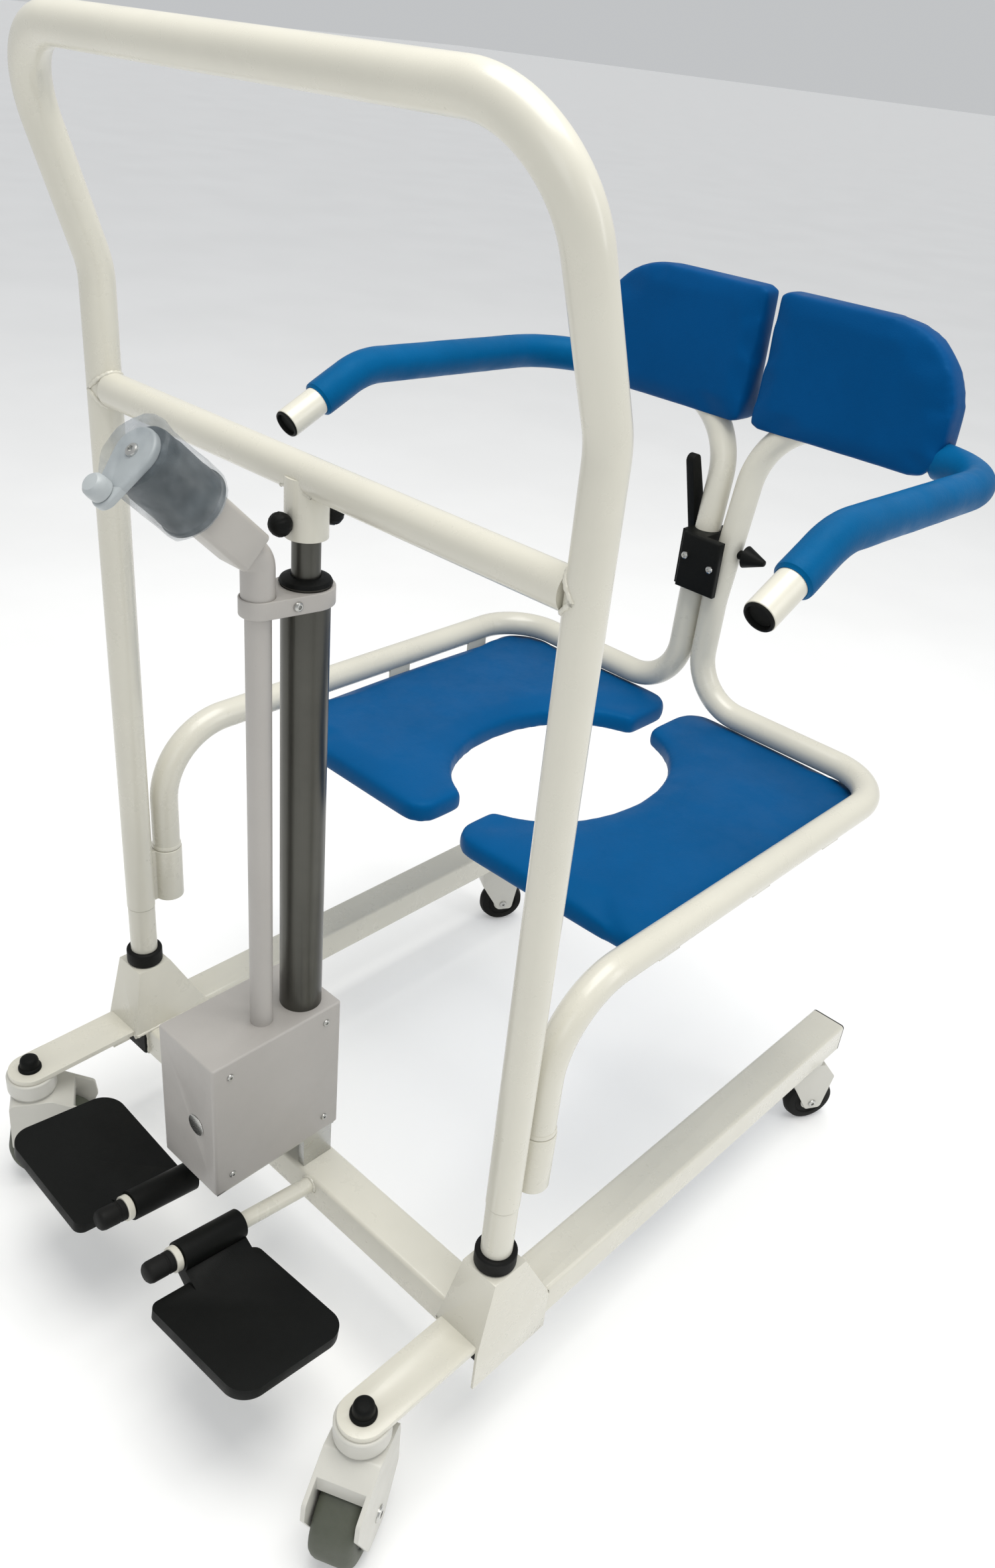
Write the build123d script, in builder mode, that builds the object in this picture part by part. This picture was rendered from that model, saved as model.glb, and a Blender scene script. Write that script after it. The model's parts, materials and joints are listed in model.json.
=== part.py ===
"""Hand-cranked sit to stand lift: a base on four casters, two posts that rise on a
screw column, and a seat split down the middle so that each half swings open.

Frame: millimetres, +Z up, the floor at Z = 0, the push handle towards -Y, X = 0 on
the plane of symmetry, and the posts in the plane Y = 0.
"""

import os
from math import cos, radians, sin, tan

from build123d import *

os.makedirs("parts", exist_ok=True)

RIGHT, LEFT = 1, -1
SIDES = {"right": RIGHT, "left": LEFT}

# ---- tubes and running clearances -------------------------------------------------
TUBE_D = 28.6            # posts, crossbar and handle
TUBE_WALL = 2.0
SEAT_TUBE_D = 28.0
RUNNING = 0.05           # radial clearance of a shaft in its bore
GAP = 0.5                # air between pieces that pass each other
ON_BASE = (Align.CENTER, Align.CENTER, Align.MIN)

# ---- base -------------------------------------------------------------------------
POST_X = 262.5           # half the distance between the posts
LEG_W, LEG_H, LEG_WALL = 42.0, 38.0, 2.0
LEG_X = 261.0
LEG_TOP = 142.0
LEG_BOTTOM = LEG_TOP - LEG_H
LEG_REAR_Y = 591.0
CROSS_Y = 3.7
LEG_FRONT_Y = CROSS_Y - LEG_W / 2
END_CAP_T = 3.0
SOCKET_TOP = 216.0       # the pyramids that hold the posts
SOCKET_X, SOCKET_W = 259.0, 51.0
SOCKET_NECK = 38.0
SOCKET_WALL = 2.5
SOCKET_FRONT_Y, SOCKET_REAR_Y = -35.0, 58.0
SOCKET_SKIRT = 94.0      # how low the side plates reach
COLLAR_D, COLLAR_H = 37.0, 17.0
POST_BOTTOM = 289.0      # the posts stand on the guide sleeves when lowered
GUIDE_TOP = 720.0

# ---- front arms and casters ---------------------------------------------------------
ARM_T = 6.0
ARM_W = 43.5
ARM_REAR_Y = 25.0
CASTER_X, CASTER_Y = 260.0, -142.0
RING_D, RING_H = 49.0, 19.0
KINGPIN_R = 6.0
AXLE_R = 5.0
STEM_CAP_D, STEM_CAP_H = 23.0, 14.0
FRONT_WHEEL_R, FRONT_WHEEL_W = 47.0, 40.0
FRONT_TRAIL = 17.0
FRONT_SWIVEL = {RIGHT: 25.0, LEFT: 148.0}     # degrees from straight ahead, about +Z
HOOD_T = 4.0
REAR_X, REAR_Y = 261.0, 562.0
REAR_RING_D, REAR_RING_H = 38.0, 8.0
REAR_WHEEL_R, REAR_WHEEL_W = 31.0, 18.0
REAR_TRAIL = 15.0
REAR_SWIVEL = {RIGHT: 150.0, LEFT: 150.0}

# ---- gearbox and column -------------------------------------------------------------
BOX_X0, BOX_X1 = -53.0, 27.0
BOX_Y0, BOX_Y1 = -116.0, 26.0
BOX_Z0, BOX_Z1 = 182.0, 334.0
BOX_WALL = 2.5
BRIDGE_Z0, BRIDGE_Z1 = 226.0, 232.0
PLATE_UNDER = 5.0
FRAME_POST, FRAME_POST_YS = 4.0, (-66.0, -22.0, 19.0)
COLUMN_D, COLUMN_BORE = 38.0, 34.0
COLUMN_TOP = 742.0
PISTON_BOTTOM = 300.0
PISTON_D, PISTON_BORE = 22.0, 17.0
PISTON_TOP = 800.0
NUT_H = 26.0
SCREW_D, SCREW_TOP = 14.0, 560.0
CRANK_TUBE_Y = -44.0
CRANK_TUBE_D, CRANK_TUBE_BORE = 20.0, 16.0
SHAFT_D = 8.0
GEAR_TEETH, GEAR_MODULE, GEAR_H = 22, 2.0, 12.0
GEAR_Z = 200.0
PLUG_Z, PLUG_D = 252.0, 18.0
CLAMP_Z0, CLAMP_H = 726.0, 14.0
CLAMP_RIM = 3.5

# ---- crank --------------------------------------------------------------------------
SLEEVE_D = 25.4
SLEEVE_Z0, ELBOW_Z = 731.0, 768.0
CRANK_RISE = 44.0        # the crank axis leans forward and up by this angle
HEAD_START, HEAD_END = 16.0, 69.5
HEAD_W, HEAD_H = 34.0, 31.0
HUB_LENGTH = 56.0
HUB_R0, HUB_R1 = 26.0, 24.0
CRANK_ARM_R = 32.0
CRANK_ARM_T = 6.0
GRIP_R, GRIP_LENGTH = 8.5, 12.0
GRIP_PIN_R = 3.5

# ---- lifting frame ------------------------------------------------------------------
CROSSBAR_Z = 822.0
KINK_Z, KINK_R = 915.0, 70.0
TOP_X, TOP_Y, TOP_Z, TOP_R = 259.0, -59.0, 1079.0, 70.0
TEE_D, TEE_BOTTOM = 33.0, 777.0
KNOB_R, KNOB_Z = 9.0, 790.0
KNOB_REACH = 23.0           # the balls' centres, from the column's axis
KNOB_PIN_R = 4.0

# ---- seat halves --------------------------------------------------------------------
HINGE_Y = 34.0
HINGE_Z0, HINGE_Z1 = 289.0, 350.0
HINGE_D, HINGE_PIN_D = 31.0, 20.0
PIN_SHOULDER = 5.0
RAIL_Z = 480.0
REAR_TUBE_Y = 553.0
BACK_X, BACK_Y, BACK_BEND_Z = 15.0, 556.0, 600.0     # the upright pair, side by side
BACK_TOP_X, BACK_TOP_Y, BACK_TOP_Z = 20.0, 586.0, 802.0
ARM_X, ARM_Z = 271.0, 809.0
DROOP_Y = 288.0                                      # the arms turn down from here
ARM_END_Y, ARM_END_Z = 196.0, 764.0
SEAT_BENDS = [75.0, 60.0, 60.0, 120.0, 80.0, 75.0, 90.0]
FOAM_D = 35.0
FOAM_SHORT = 40.0        # bare tube left past the foam
FOAM_START_X = 214.5
CAP_T = 3.0
PAD_BOTTOM, PAD_TOP = 442.0, 465.5
PAD_NECK, PAD_TAIL = 20.0, 12.0      # half the slot between the pads, front and rear
PAD_OUTER_X = 250.0
PAD_FRONT_Y, PAD_REAR_Y = 154.0, 558.0
PAD_HOLE_Y, PAD_HOLE_RX, PAD_HOLE_RY = 345.0, 98.0, 132.0
PAD_CORNER_FRONT, PAD_CORNER_REAR = 32.0, 45.0
PAD_CORNER_NECK, PAD_CORNER_TAIL, PAD_CORNER_TIP = 26.0, 30.0, 9.0
PAD_EDGE = 6.0
TAB_T, TAB_W, TAB_REACH = 3.0, 30.0, 39.0
TAB_X, TAB_TOP = 254.0, 475.0        # the brackets' outer faces and upper ends
TAB_YS = (200.0, 345.0, 472.0)
BACK_X0, BACK_X1 = 7.0, 214.0
BACK_Z0, BACK_Z1 = 784.0, 916.0
BACK_FRONT_LOW, BACK_FRONT_TOP, BACK_REAR = 565.5, 579.0, 604.0
BACK_CORNER_TOP, BACK_CORNER_LOW, BACK_CORNER_INNER = 80.0, 25.0, 6.0
CLAMP_X0, CLAMP_X1 = -31.0, 0.4      # latch body round the left upright
CLAMP_Y0, CLAMP_Y1 = 540.5, 588.0
FACE_X0, FACE_X1, FACE_Y0 = -25.0, 24.0, 532.0       # latch plate before both uprights
LATCH_Z0, LATCH_Z1 = 609.0, 670.0
LEVER_X, LEVER_T, LEVER_W = -33.5, 10.0, 20.0
LEVER_Y, LEVER_Z, LEVER_PIN_R = 580.0, 655.0, 4.0
LEVER_TOP_Y, LEVER_TOP_Z, LEVER_TIP_R = 548.0, 741.0, 7.0
PIN_REACH = 7.0
STRIKE_Y, STRIKE_Z = 564.0, 655.0
STRIKE_X0, STRIKE_X1, STRIKE_TIP = 29.0, 38.0, 62.0
STRIKE_COLLAR_R, STRIKE_R, STRIKE_TIP_R = 5.0, 12.0, 3.0

# ---- footrests ----------------------------------------------------------------------
FOOT_X = 38.0
FOOT_RISE = 8.0          # the footrest tubes climb forward by this angle
FOOT_TUBE_D = 16.0
FOOT_ROOT_Z = 131.0
PLATE_T = 11.0
PLATE_DROP = 16.5        # from the tube's axis down to the tread
PLATE_INNER, PLATE_OUTER = 18.0, 149.0       # from the tube's axis, sideways
PLATE_START, PLATE_LENGTH = 76.0, 115.0      # along the tube, from the cross tube
PLATE_TILT = 5.0
PLATE_CORNER, PLATE_CORNER_INNER = 22.0, 9.0
BARREL_START, BARREL_LENGTH = 84.0, 66.0
BARREL_R = 14.0
WASHER_START, WASHER_R, WASHER_T = 151.0, 12.0, 6.5
PLUG_R, PLUG_LENGTH = 10.0, 26.0


def save(piece, name):
    """Label a finished piece and write it as its own STEP file."""
    piece.part.label = name
    export_step(piece.part, f"parts/{name}.step")


def ring_section(plane, outer_d, inner_d):
    """A round tube's section on the given plane."""
    with BuildSketch(plane) as section:
        Circle(outer_d / 2)
        Circle(inner_d / 2, mode=Mode.SUBTRACT)
    return section.sketch


def bent_tube(points, radii, outer_d, wall):
    """A round tube along straight runs joined by tangent bends."""
    with BuildPart() as tube:
        with BuildLine() as run:
            FilletPolyline(*points, radius=radii)
        start = Plane(origin=run.line @ 0, z_dir=run.line % 0)
        sweep(ring_section(start, outer_d, outer_d - 2 * wall), path=run.line)
    return tube


def upright(x, y, z0, z1, outer_d, inner_d):
    """A vertical round tube."""
    with BuildPart() as tube:
        extrude(ring_section(Plane(origin=(x, y, z0)), outer_d, inner_d), amount=z1 - z0)
    return tube


# ======================================================================================
# Base
# ======================================================================================

def cross_tube():
    """The rectangular tube that joins the two legs."""
    half = LEG_X - LEG_W / 2
    with BuildPart() as tube:
        with BuildSketch(Plane.YZ.offset(-half)):
            with Locations((CROSS_Y, LEG_TOP - LEG_H / 2)):
                RectangleRounded(LEG_W, LEG_H, 4)
                RectangleRounded(LEG_W - 2 * LEG_WALL, LEG_H - 2 * LEG_WALL, 2, mode=Mode.SUBTRACT)
        extrude(amount=2 * half)
    save(tube, "cross_tube")


def base_legs():
    """The legs: rectangular tubes that run back from the sockets to the rear casters."""
    with BuildPart() as legs:
        for side in SIDES.values():
            with BuildSketch(Plane.XZ.offset(-LEG_FRONT_Y)):
                with Locations((side * LEG_X, LEG_TOP - LEG_H / 2)):
                    RectangleRounded(LEG_W, LEG_H, 4)
                    RectangleRounded(LEG_W - 2 * LEG_WALL, LEG_H - 2 * LEG_WALL, 2, mode=Mode.SUBTRACT)
            extrude(amount=-(LEG_REAR_Y - LEG_FRONT_Y))
            with Locations((side * POST_X, 0, LEG_TOP)):
                Cylinder(guide_d() / 2, 4 * LEG_WALL, mode=Mode.SUBTRACT)
            with Locations((side * REAR_X, REAR_Y, LEG_BOTTOM)):
                Cylinder(KINGPIN_R + RUNNING, 4 * LEG_WALL, mode=Mode.SUBTRACT)
    save(legs, "base_legs")


def leg_end_caps():
    """Flat plastic caps with chamfered edges on both ends of each leg."""
    with BuildPart() as caps:
        for side in SIDES.values():
            for y in (LEG_FRONT_Y - END_CAP_T, LEG_REAR_Y):
                with BuildSketch(Plane.XZ.offset(-y)):
                    with Locations((side * LEG_X, LEG_TOP - LEG_H / 2)):
                        RectangleRounded(LEG_W, LEG_H, 4)
                extrude(amount=-END_CAP_T)
        ends = caps.edges().group_by(Axis.Y)
        chamfer(ends[0] + ends[-1], 1.2)
    save(caps, "leg_end_caps")


def guide_d():
    """Diameter of the guide tubes that the posts slide on."""
    return TUBE_D - 2 * TUBE_WALL - 2 * RUNNING


def post_sockets():
    """Folded steel pyramids over the joints of legs and cross tube, open underneath."""
    mid_y, length = (SOCKET_FRONT_Y + SOCKET_REAR_Y) / 2, SOCKET_REAR_Y - SOCKET_FRONT_Y
    notch = ARM_REAR_Y - 2 * SOCKET_FRONT_Y
    with BuildPart() as sockets:
        for side in SIDES.values():
            for wall, cut in ((0, Mode.ADD), (SOCKET_WALL, Mode.SUBTRACT)):
                with BuildSketch(Plane.XY.offset(LEG_TOP)):
                    with Locations((side * SOCKET_X, mid_y)):
                        Rectangle(SOCKET_W - 2 * wall, length - 2 * wall)
                with BuildSketch(Plane.XY.offset(SOCKET_TOP - wall)):
                    with Locations((side * POST_X, 0)):
                        Rectangle(SOCKET_NECK - 2 * wall, SOCKET_NECK - 2 * wall)
                loft(mode=cut)
            with BuildSketch(Plane.XY.offset(SOCKET_SKIRT)):
                with Locations((side * (LEG_X + (LEG_W + SOCKET_WALL) / 2), mid_y)):
                    Rectangle(SOCKET_WALL, length)
            extrude(amount=LEG_TOP - SOCKET_SKIRT)
            with Locations((side * POST_X, 0, SOCKET_TOP)):
                Cylinder(guide_d() / 2, 4 * SOCKET_WALL, mode=Mode.SUBTRACT)
            with Locations((side * CASTER_X, ARM_REAR_Y - notch / 2, LEG_TOP + ARM_T / 2)):
                Box(ARM_W, notch, ARM_T, mode=Mode.SUBTRACT)
    save(sockets, "post_sockets")


def front_arms():
    """Flat steel arms from the sockets to the front casters, rounded at their ends."""
    with BuildPart() as arms:
        for side in SIDES.values():
            x0, x1 = side * CASTER_X - ARM_W / 2, side * CASTER_X + ARM_W / 2
            with BuildSketch(Plane.XY.offset(LEG_TOP)):
                with BuildLine():
                    Polyline((x0, CASTER_Y), (x0, ARM_REAR_Y), (x1, ARM_REAR_Y), (x1, CASTER_Y))
                    ThreePointArc((x1, CASTER_Y), (side * CASTER_X, CASTER_Y - ARM_W / 2), (x0, CASTER_Y))
                make_face()
            extrude(amount=ARM_T)
            with Locations((side * CASTER_X, CASTER_Y, LEG_TOP)):
                Cylinder(KINGPIN_R + RUNNING, 4 * ARM_T, mode=Mode.SUBTRACT)
            with Locations((side * POST_X, 0, LEG_TOP)):
                Cylinder(guide_d() / 2, 4 * ARM_T, mode=Mode.SUBTRACT)
    save(arms, "front_arms")


def post_guides():
    """Guide tubes, the sleeves that the lowered posts stand on, and the rubber collars."""
    rings = {
        "guide_tubes": (LEG_BOTTOM + LEG_WALL, GUIDE_TOP, guide_d(), guide_d() - 2 * TUBE_WALL),
        "guide_sleeves": (SOCKET_TOP, POST_BOTTOM, TUBE_D - 1, guide_d()),
        "socket_collars": (SOCKET_TOP, SOCKET_TOP + COLLAR_H, COLLAR_D, TUBE_D - 1),
    }
    for node, (z0, z1, outer_d, inner_d) in rings.items():
        with BuildPart() as pair:
            for side in SIDES.values():
                with BuildSketch(Plane.XY.offset(z0)):
                    with Locations((side * POST_X, 0)):
                        Circle(outer_d / 2)
                        Circle(inner_d / 2, mode=Mode.SUBTRACT)
                extrude(amount=z1 - z0)
            if outer_d == COLLAR_D:
                fillet(pair.edges().filter_by(GeomType.CIRCLE).filter_by(lambda e: e.radius > TUBE_D / 2), 2.5)
        save(pair, node)


# ======================================================================================
# Casters
# ======================================================================================

def swivel_rings():
    """Bearing housings under the front arms and bearing plates under the legs' rear ends."""
    with BuildPart() as rings:
        for side in SIDES.values():
            for x, y, z, size, height in (
                (CASTER_X, CASTER_Y, LEG_TOP, RING_D, RING_H),
                (REAR_X, REAR_Y, LEG_BOTTOM, REAR_RING_D, REAR_RING_H),
            ):
                with BuildSketch(Plane.XY.offset(z - height)):
                    with Locations((side * x, y)):
                        Circle(size / 2)
                        Circle(KINGPIN_R + RUNNING, mode=Mode.SUBTRACT)
                extrude(amount=height)
        rim = rings.edges().filter_by(GeomType.CIRCLE).filter_by(lambda e: e.radius > 2 * KINGPIN_R)
        fillet(rim, 2)
    save(rings, "swivel_rings")


def stem_caps():
    """Domed plastic caps over the front casters' stems."""
    with BuildPart() as caps:
        for side in SIDES.values():
            with BuildSketch(Plane.XY.offset(LEG_TOP + ARM_T)):
                with Locations((side * CASTER_X, CASTER_Y)):
                    Circle(STEM_CAP_D / 2)
            extrude(amount=STEM_CAP_H)
        fillet(caps.edges().group_by(Axis.Z)[-1], 4)
    save(caps, "front_stem_caps")


def caster_frame(x, y, swivel):
    """The caster's mid plane, with its X along the trail and its Y upright, then the
    directions of the trail and the axle. Swivel turns the trail from -Y about +Z."""
    turn = radians(swivel)
    trail = Vector(sin(turn), -cos(turn), 0)
    axle = Vector(cos(turn), sin(turn), 0)
    return Plane(origin=(x, y, 0), x_dir=trail, z_dir=-axle), trail, axle


def caster_fork(x, y, swivel, top_z, spec, name):
    """A moulded hood over the wheel: two cheeks, a roof, the kingpin and the axle."""
    plane, trail, axle = caster_frame(x, y, swivel)
    half = spec["wheel_w"] / 2 + 1.5
    outer = half + spec["cheek"]
    with BuildPart() as fork:
        with BuildSketch(plane.offset(-outer)):
            with BuildLine():
                FilletPolyline(*spec["outline"], radius=spec["corner"], close=True)
            make_face()
        extrude(amount=2 * outer)
        with BuildSketch(plane.offset(-half)):
            with Locations((spec["trail"], spec["wheel_r"])):
                Circle(spec["wheel_r"] + spec["air"])
            with BuildLine():
                Polyline(*spec["mouth"], close=True)
            make_face()
        extrude(amount=2 * half, mode=Mode.SUBTRACT)
        top = fork.faces().sort_by(Axis.Z)[-1]
        with BuildSketch(Plane(origin=(x, y, top.center().Z))):
            Circle(spec["neck"])
        extrude(amount=spec["neck_h"])
        with BuildSketch(Plane(origin=(x, y, top.center().Z))):
            Circle(KINGPIN_R)
        extrude(amount=top_z - top.center().Z)
        with BuildSketch(plane.offset(-outer)):
            with Locations((spec["trail"], spec["wheel_r"])):
                Circle(AXLE_R)
        extrude(amount=2 * outer)
    save(fork, name)


def caster_wheel(x, y, swivel, spec, name):
    """A wheel with a rounded tread and a bore for its axle."""
    plane, trail, axle = caster_frame(x, y, swivel)
    centre = Vector(x, y, spec["wheel_r"]) + trail * spec["trail"]
    radius, half = spec["wheel_r"], spec["wheel_w"] / 2
    with BuildPart() as wheel:
        with BuildSketch(Plane(origin=centre - axle * half, z_dir=axle)):
            Circle(radius)
            Circle(AXLE_R + RUNNING, mode=Mode.SUBTRACT)
        extrude(amount=2 * half)
        rims = wheel.edges().filter_by(GeomType.CIRCLE).filter_by(lambda e: e.radius > radius - 1)
        fillet(rims, spec["round"])
    save(wheel, name)


def casters():
    """Two large front casters and two small rear ones, each free to swivel and roll."""
    r, t = FRONT_WHEEL_R, FRONT_TRAIL
    front = {
        "wheel_r": r, "wheel_w": FRONT_WHEEL_W, "trail": t, "round": 7, "cheek": HOOD_T,
        "air": 3, "neck": RING_D / 2 - 2, "neck_h": 2.5, "corner": 6,
        "outline": [(-24, 62), (-22, 120), (20, 120), (60, 98), (62, 80), (36, 20), (4, 20)],
        "mouth": [(t, -1), (t + 2 * r, -1), (t + 2 * r, 3 * r), (40, 3 * r), (40, 74), (t, 74)],
    }
    r2, t2 = REAR_WHEEL_R, REAR_TRAIL
    rear = {
        "wheel_r": r2, "wheel_w": REAR_WHEEL_W, "trail": t2, "round": 5, "cheek": 3,
        "air": 3, "neck": REAR_RING_D / 2 - 2, "neck_h": 2.5, "corner": 5,
        "outline": [(-18, 66), (-18, 93), (20, 93), (36, 72), (28, 22), (8, 22)],
        "mouth": [(-30, -1), (t2 + 2 * r2, -1), (t2 + 2 * r2, r2 + 6), (-30, r2 + 6)],
    }
    for name, side in SIDES.items():
        place = (side * CASTER_X, CASTER_Y, FRONT_SWIVEL[side])
        caster_fork(*place, LEG_TOP + ARM_T - GAP, front, f"front_fork_{name}")
        caster_wheel(*place, front, f"front_wheel_{name}")
        place = (side * REAR_X, REAR_Y, REAR_SWIVEL[side])
        caster_fork(*place, LEG_BOTTOM + LEG_WALL, rear, f"rear_fork_{name}")
        caster_wheel(*place, rear, f"rear_wheel_{name}")


# ======================================================================================
# Gearbox, column and crank
# ======================================================================================

def gearbox_frame():
    """A welded box on the cross tube: base plate, two webs and the bridge that carries
    the column, with plain bearings for the screw and the drive shaft."""
    x0, x1 = BOX_X0 + BOX_WALL, BOX_X1 - BOX_WALL
    mid_x, size_x = (x0 + x1) / 2, x1 - x0
    y0, y1 = BOX_Y0 + BOX_WALL, BOX_Y1 - BOX_WALL
    mid_y, size_y = (y0 + y1) / 2, y1 - y0
    with BuildPart() as frame:
        for z0, z1 in ((BOX_Z0 - PLATE_UNDER, BOX_Z0), (BRIDGE_Z0, BRIDGE_Z1)):
            with BuildSketch(Plane.XY.offset(z0)):
                with Locations((mid_x, mid_y)):
                    Rectangle(size_x, size_y)
            extrude(amount=z1 - z0)
        with BuildSketch(Plane.XY.offset(BOX_Z0)):
            with Locations((x0 + FRAME_POST / 2, mid_y)):
                Rectangle(FRAME_POST, size_y)
            with Locations(*((x1 - FRAME_POST / 2, y) for y in FRAME_POST_YS)):
                Rectangle(FRAME_POST, 2 * FRAME_POST)
        extrude(amount=BRIDGE_Z0 - BOX_Z0)
        with BuildSketch(Plane.XY.offset(LEG_TOP)):
            with Locations((x0 + FRAME_POST, CROSS_Y), (x1 - FRAME_POST, CROSS_Y)):
                Rectangle(2 * FRAME_POST, LEG_W - 2 * FRAME_POST)
        extrude(amount=BOX_Z0 - PLATE_UNDER - LEG_TOP)
        for y, radius in ((0, SCREW_D / 2), (CRANK_TUBE_Y, SHAFT_D / 2)):
            with Locations((0, y, BOX_Z0)):
                Cylinder(radius + RUNNING, 4 * (BRIDGE_Z1 - BOX_Z0), mode=Mode.SUBTRACT)
    save(frame, "gearbox_frame")


def gearbox_cover():
    """A pressed cover, open underneath, with holes for the tubes and a plug in front."""
    mid_x, mid_y = (BOX_X0 + BOX_X1) / 2, (BOX_Y0 + BOX_Y1) / 2
    size_x, size_y, height = BOX_X1 - BOX_X0, BOX_Y1 - BOX_Y0, BOX_Z1 - BOX_Z0
    with BuildPart() as cover:
        with Locations((mid_x, mid_y, (BOX_Z0 + BOX_Z1) / 2)):
            Box(size_x, size_y, height)
        fillet(cover.edges().filter_by(Axis.Z), 3)
        fillet(cover.edges().group_by(Axis.Z)[-1], 2)
        with Locations((mid_x, mid_y, (BOX_Z0 + BOX_Z1) / 2 - BOX_WALL)):
            Box(size_x - 2 * BOX_WALL, size_y - 2 * BOX_WALL, height, mode=Mode.SUBTRACT)
        for y, radius in ((0, COLUMN_D / 2), (CRANK_TUBE_Y, CRANK_TUBE_D / 2)):
            with Locations((0, y, BOX_Z1)):
                Cylinder(radius, 4 * BOX_WALL, mode=Mode.SUBTRACT)
        with BuildSketch(Plane.XZ.offset(-BOX_Y0)):
            with Locations((0, PLUG_Z)):
                Circle(PLUG_D / 2)
        extrude(amount=2 * BOX_WALL, both=True, mode=Mode.SUBTRACT)
    save(cover, "gearbox_cover")
    with BuildPart() as plug:
        with BuildSketch(Plane.XZ.offset(-BOX_Y0 - BOX_WALL)):
            with Locations((0, PLUG_Z)):
                Circle(PLUG_D / 2)
        extrude(amount=BOX_WALL)
        with BuildSketch(Plane.XZ.offset(-BOX_Y0)):
            with Locations((0, PLUG_Z)):
                Circle(PLUG_D / 2 + 1.5)
        extrude(amount=1)
    save(plug, "cover_plug")


def column():
    """The fixed outer tube, its gland ring and the plate that ties it to the crank."""
    save(upright(0, 0, BRIDGE_Z1, COLUMN_TOP, COLUMN_D, COLUMN_BORE), "column_tube")
    bore = PISTON_D / 2 + RUNNING
    with BuildPart() as gland:
        with BuildSketch(Plane.XZ):
            with BuildLine():
                Polyline(
                    (bore, COLUMN_TOP - 12), (COLUMN_BORE / 2, COLUMN_TOP - 12),
                    (COLUMN_BORE / 2, COLUMN_TOP), (COLUMN_D / 2 + 1.5, COLUMN_TOP),
                    (COLUMN_D / 2, COLUMN_TOP + 3), (bore + 3, COLUMN_TOP + 5),
                    (bore, COLUMN_TOP + 5), close=True,
                )
            make_face()
        revolve(axis=Axis.Z)
    save(gland, "column_gland")
    with BuildPart() as clamp:
        with BuildSketch(Plane.XY.offset(CLAMP_Z0)):
            Circle(COLUMN_D / 2 + CLAMP_RIM)
            with Locations((0, CRANK_TUBE_Y)):
                Circle(SLEEVE_D / 2 + CLAMP_RIM / 2)
            make_hull()
            Circle(COLUMN_D / 2, mode=Mode.SUBTRACT)
            with Locations((0, CRANK_TUBE_Y)):
                Circle(SLEEVE_D / 2, mode=Mode.SUBTRACT)
        extrude(amount=CLAMP_H)
    save(clamp, "clamp_plate")


def gear_profile(centre_y, first_tooth):
    """A spur gear's outline: a root circle with trapezoid teeth that leave backlash."""
    root, tip = GEAR_MODULE * (GEAR_TEETH / 2 - 0.9), GEAR_MODULE * (GEAR_TEETH / 2 + 0.55)
    with Locations((0, centre_y)):
        Circle(root)
        with PolarLocations(0, GEAR_TEETH, start_angle=first_tooth):
            Polygon((root - 1, -1.5), (tip, -0.8), (tip, 0.8), (root - 1, 1.5), align=None)


def drive_train():
    """Lead screw and drive shaft with their meshing gears, the piston and its nut."""
    pitch_angle = 360 / GEAR_TEETH
    with BuildPart() as screw:
        with BuildSketch(Plane.XY.offset(BOX_Z0 - 4)):
            Circle(SCREW_D / 2)
        extrude(amount=SCREW_TOP - BOX_Z0 + 4)
        chamfer(screw.edges().group_by(Axis.Z)[-1], 1.5)
    save(screw, "lead_screw")
    with BuildPart() as gear:
        with BuildSketch(Plane.XY.offset(GEAR_Z)):
            gear_profile(0, -90)
            Circle(SCREW_D / 2, mode=Mode.SUBTRACT)
        extrude(amount=GEAR_H)
    save(gear, "screw_gear")
    with BuildPart() as shaft:
        with BuildSketch(Plane.YZ):
            with BuildLine():
                y = CRANK_TUBE_Y
                Polyline(
                    (y, BOX_Z0 - 4), (y + SHAFT_D / 2, BOX_Z0 - 4), (y + SHAFT_D / 2, ELBOW_Z - 8),
                    (y + 8, ELBOW_Z - 5), (y + 4, ELBOW_Z - 2.5), (y, ELBOW_Z - 2.5), close=True,
                )
            make_face()
        revolve(axis=Axis((0, CRANK_TUBE_Y, 0), (0, 0, 1)))
        with BuildSketch(Plane.XY.offset(GEAR_Z)):
            gear_profile(CRANK_TUBE_Y, 90 + pitch_angle / 2)
        extrude(amount=GEAR_H)
    save(shaft, "drive_shaft")
    save(upright(0, 0, PISTON_BOTTOM, PISTON_TOP, PISTON_D, PISTON_BORE), "piston_tube")
    nut_d = COLUMN_BORE - 2 * RUNNING
    save(upright(0, 0, PISTON_BOTTOM - NUT_H, PISTON_BOTTOM, nut_d, SCREW_D + 2 * RUNNING), "lift_nut")


def crank_plane(distance):
    """The plane square to the crank's axis, this far from the elbow, with X to the right."""
    rise = radians(CRANK_RISE)
    axis = Vector(0, -cos(rise), sin(rise))
    return Plane(origin=Vector(0, CRANK_TUBE_Y, ELBOW_Z) + axis * distance, x_dir=(1, 0, 0), z_dir=axis)


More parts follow.
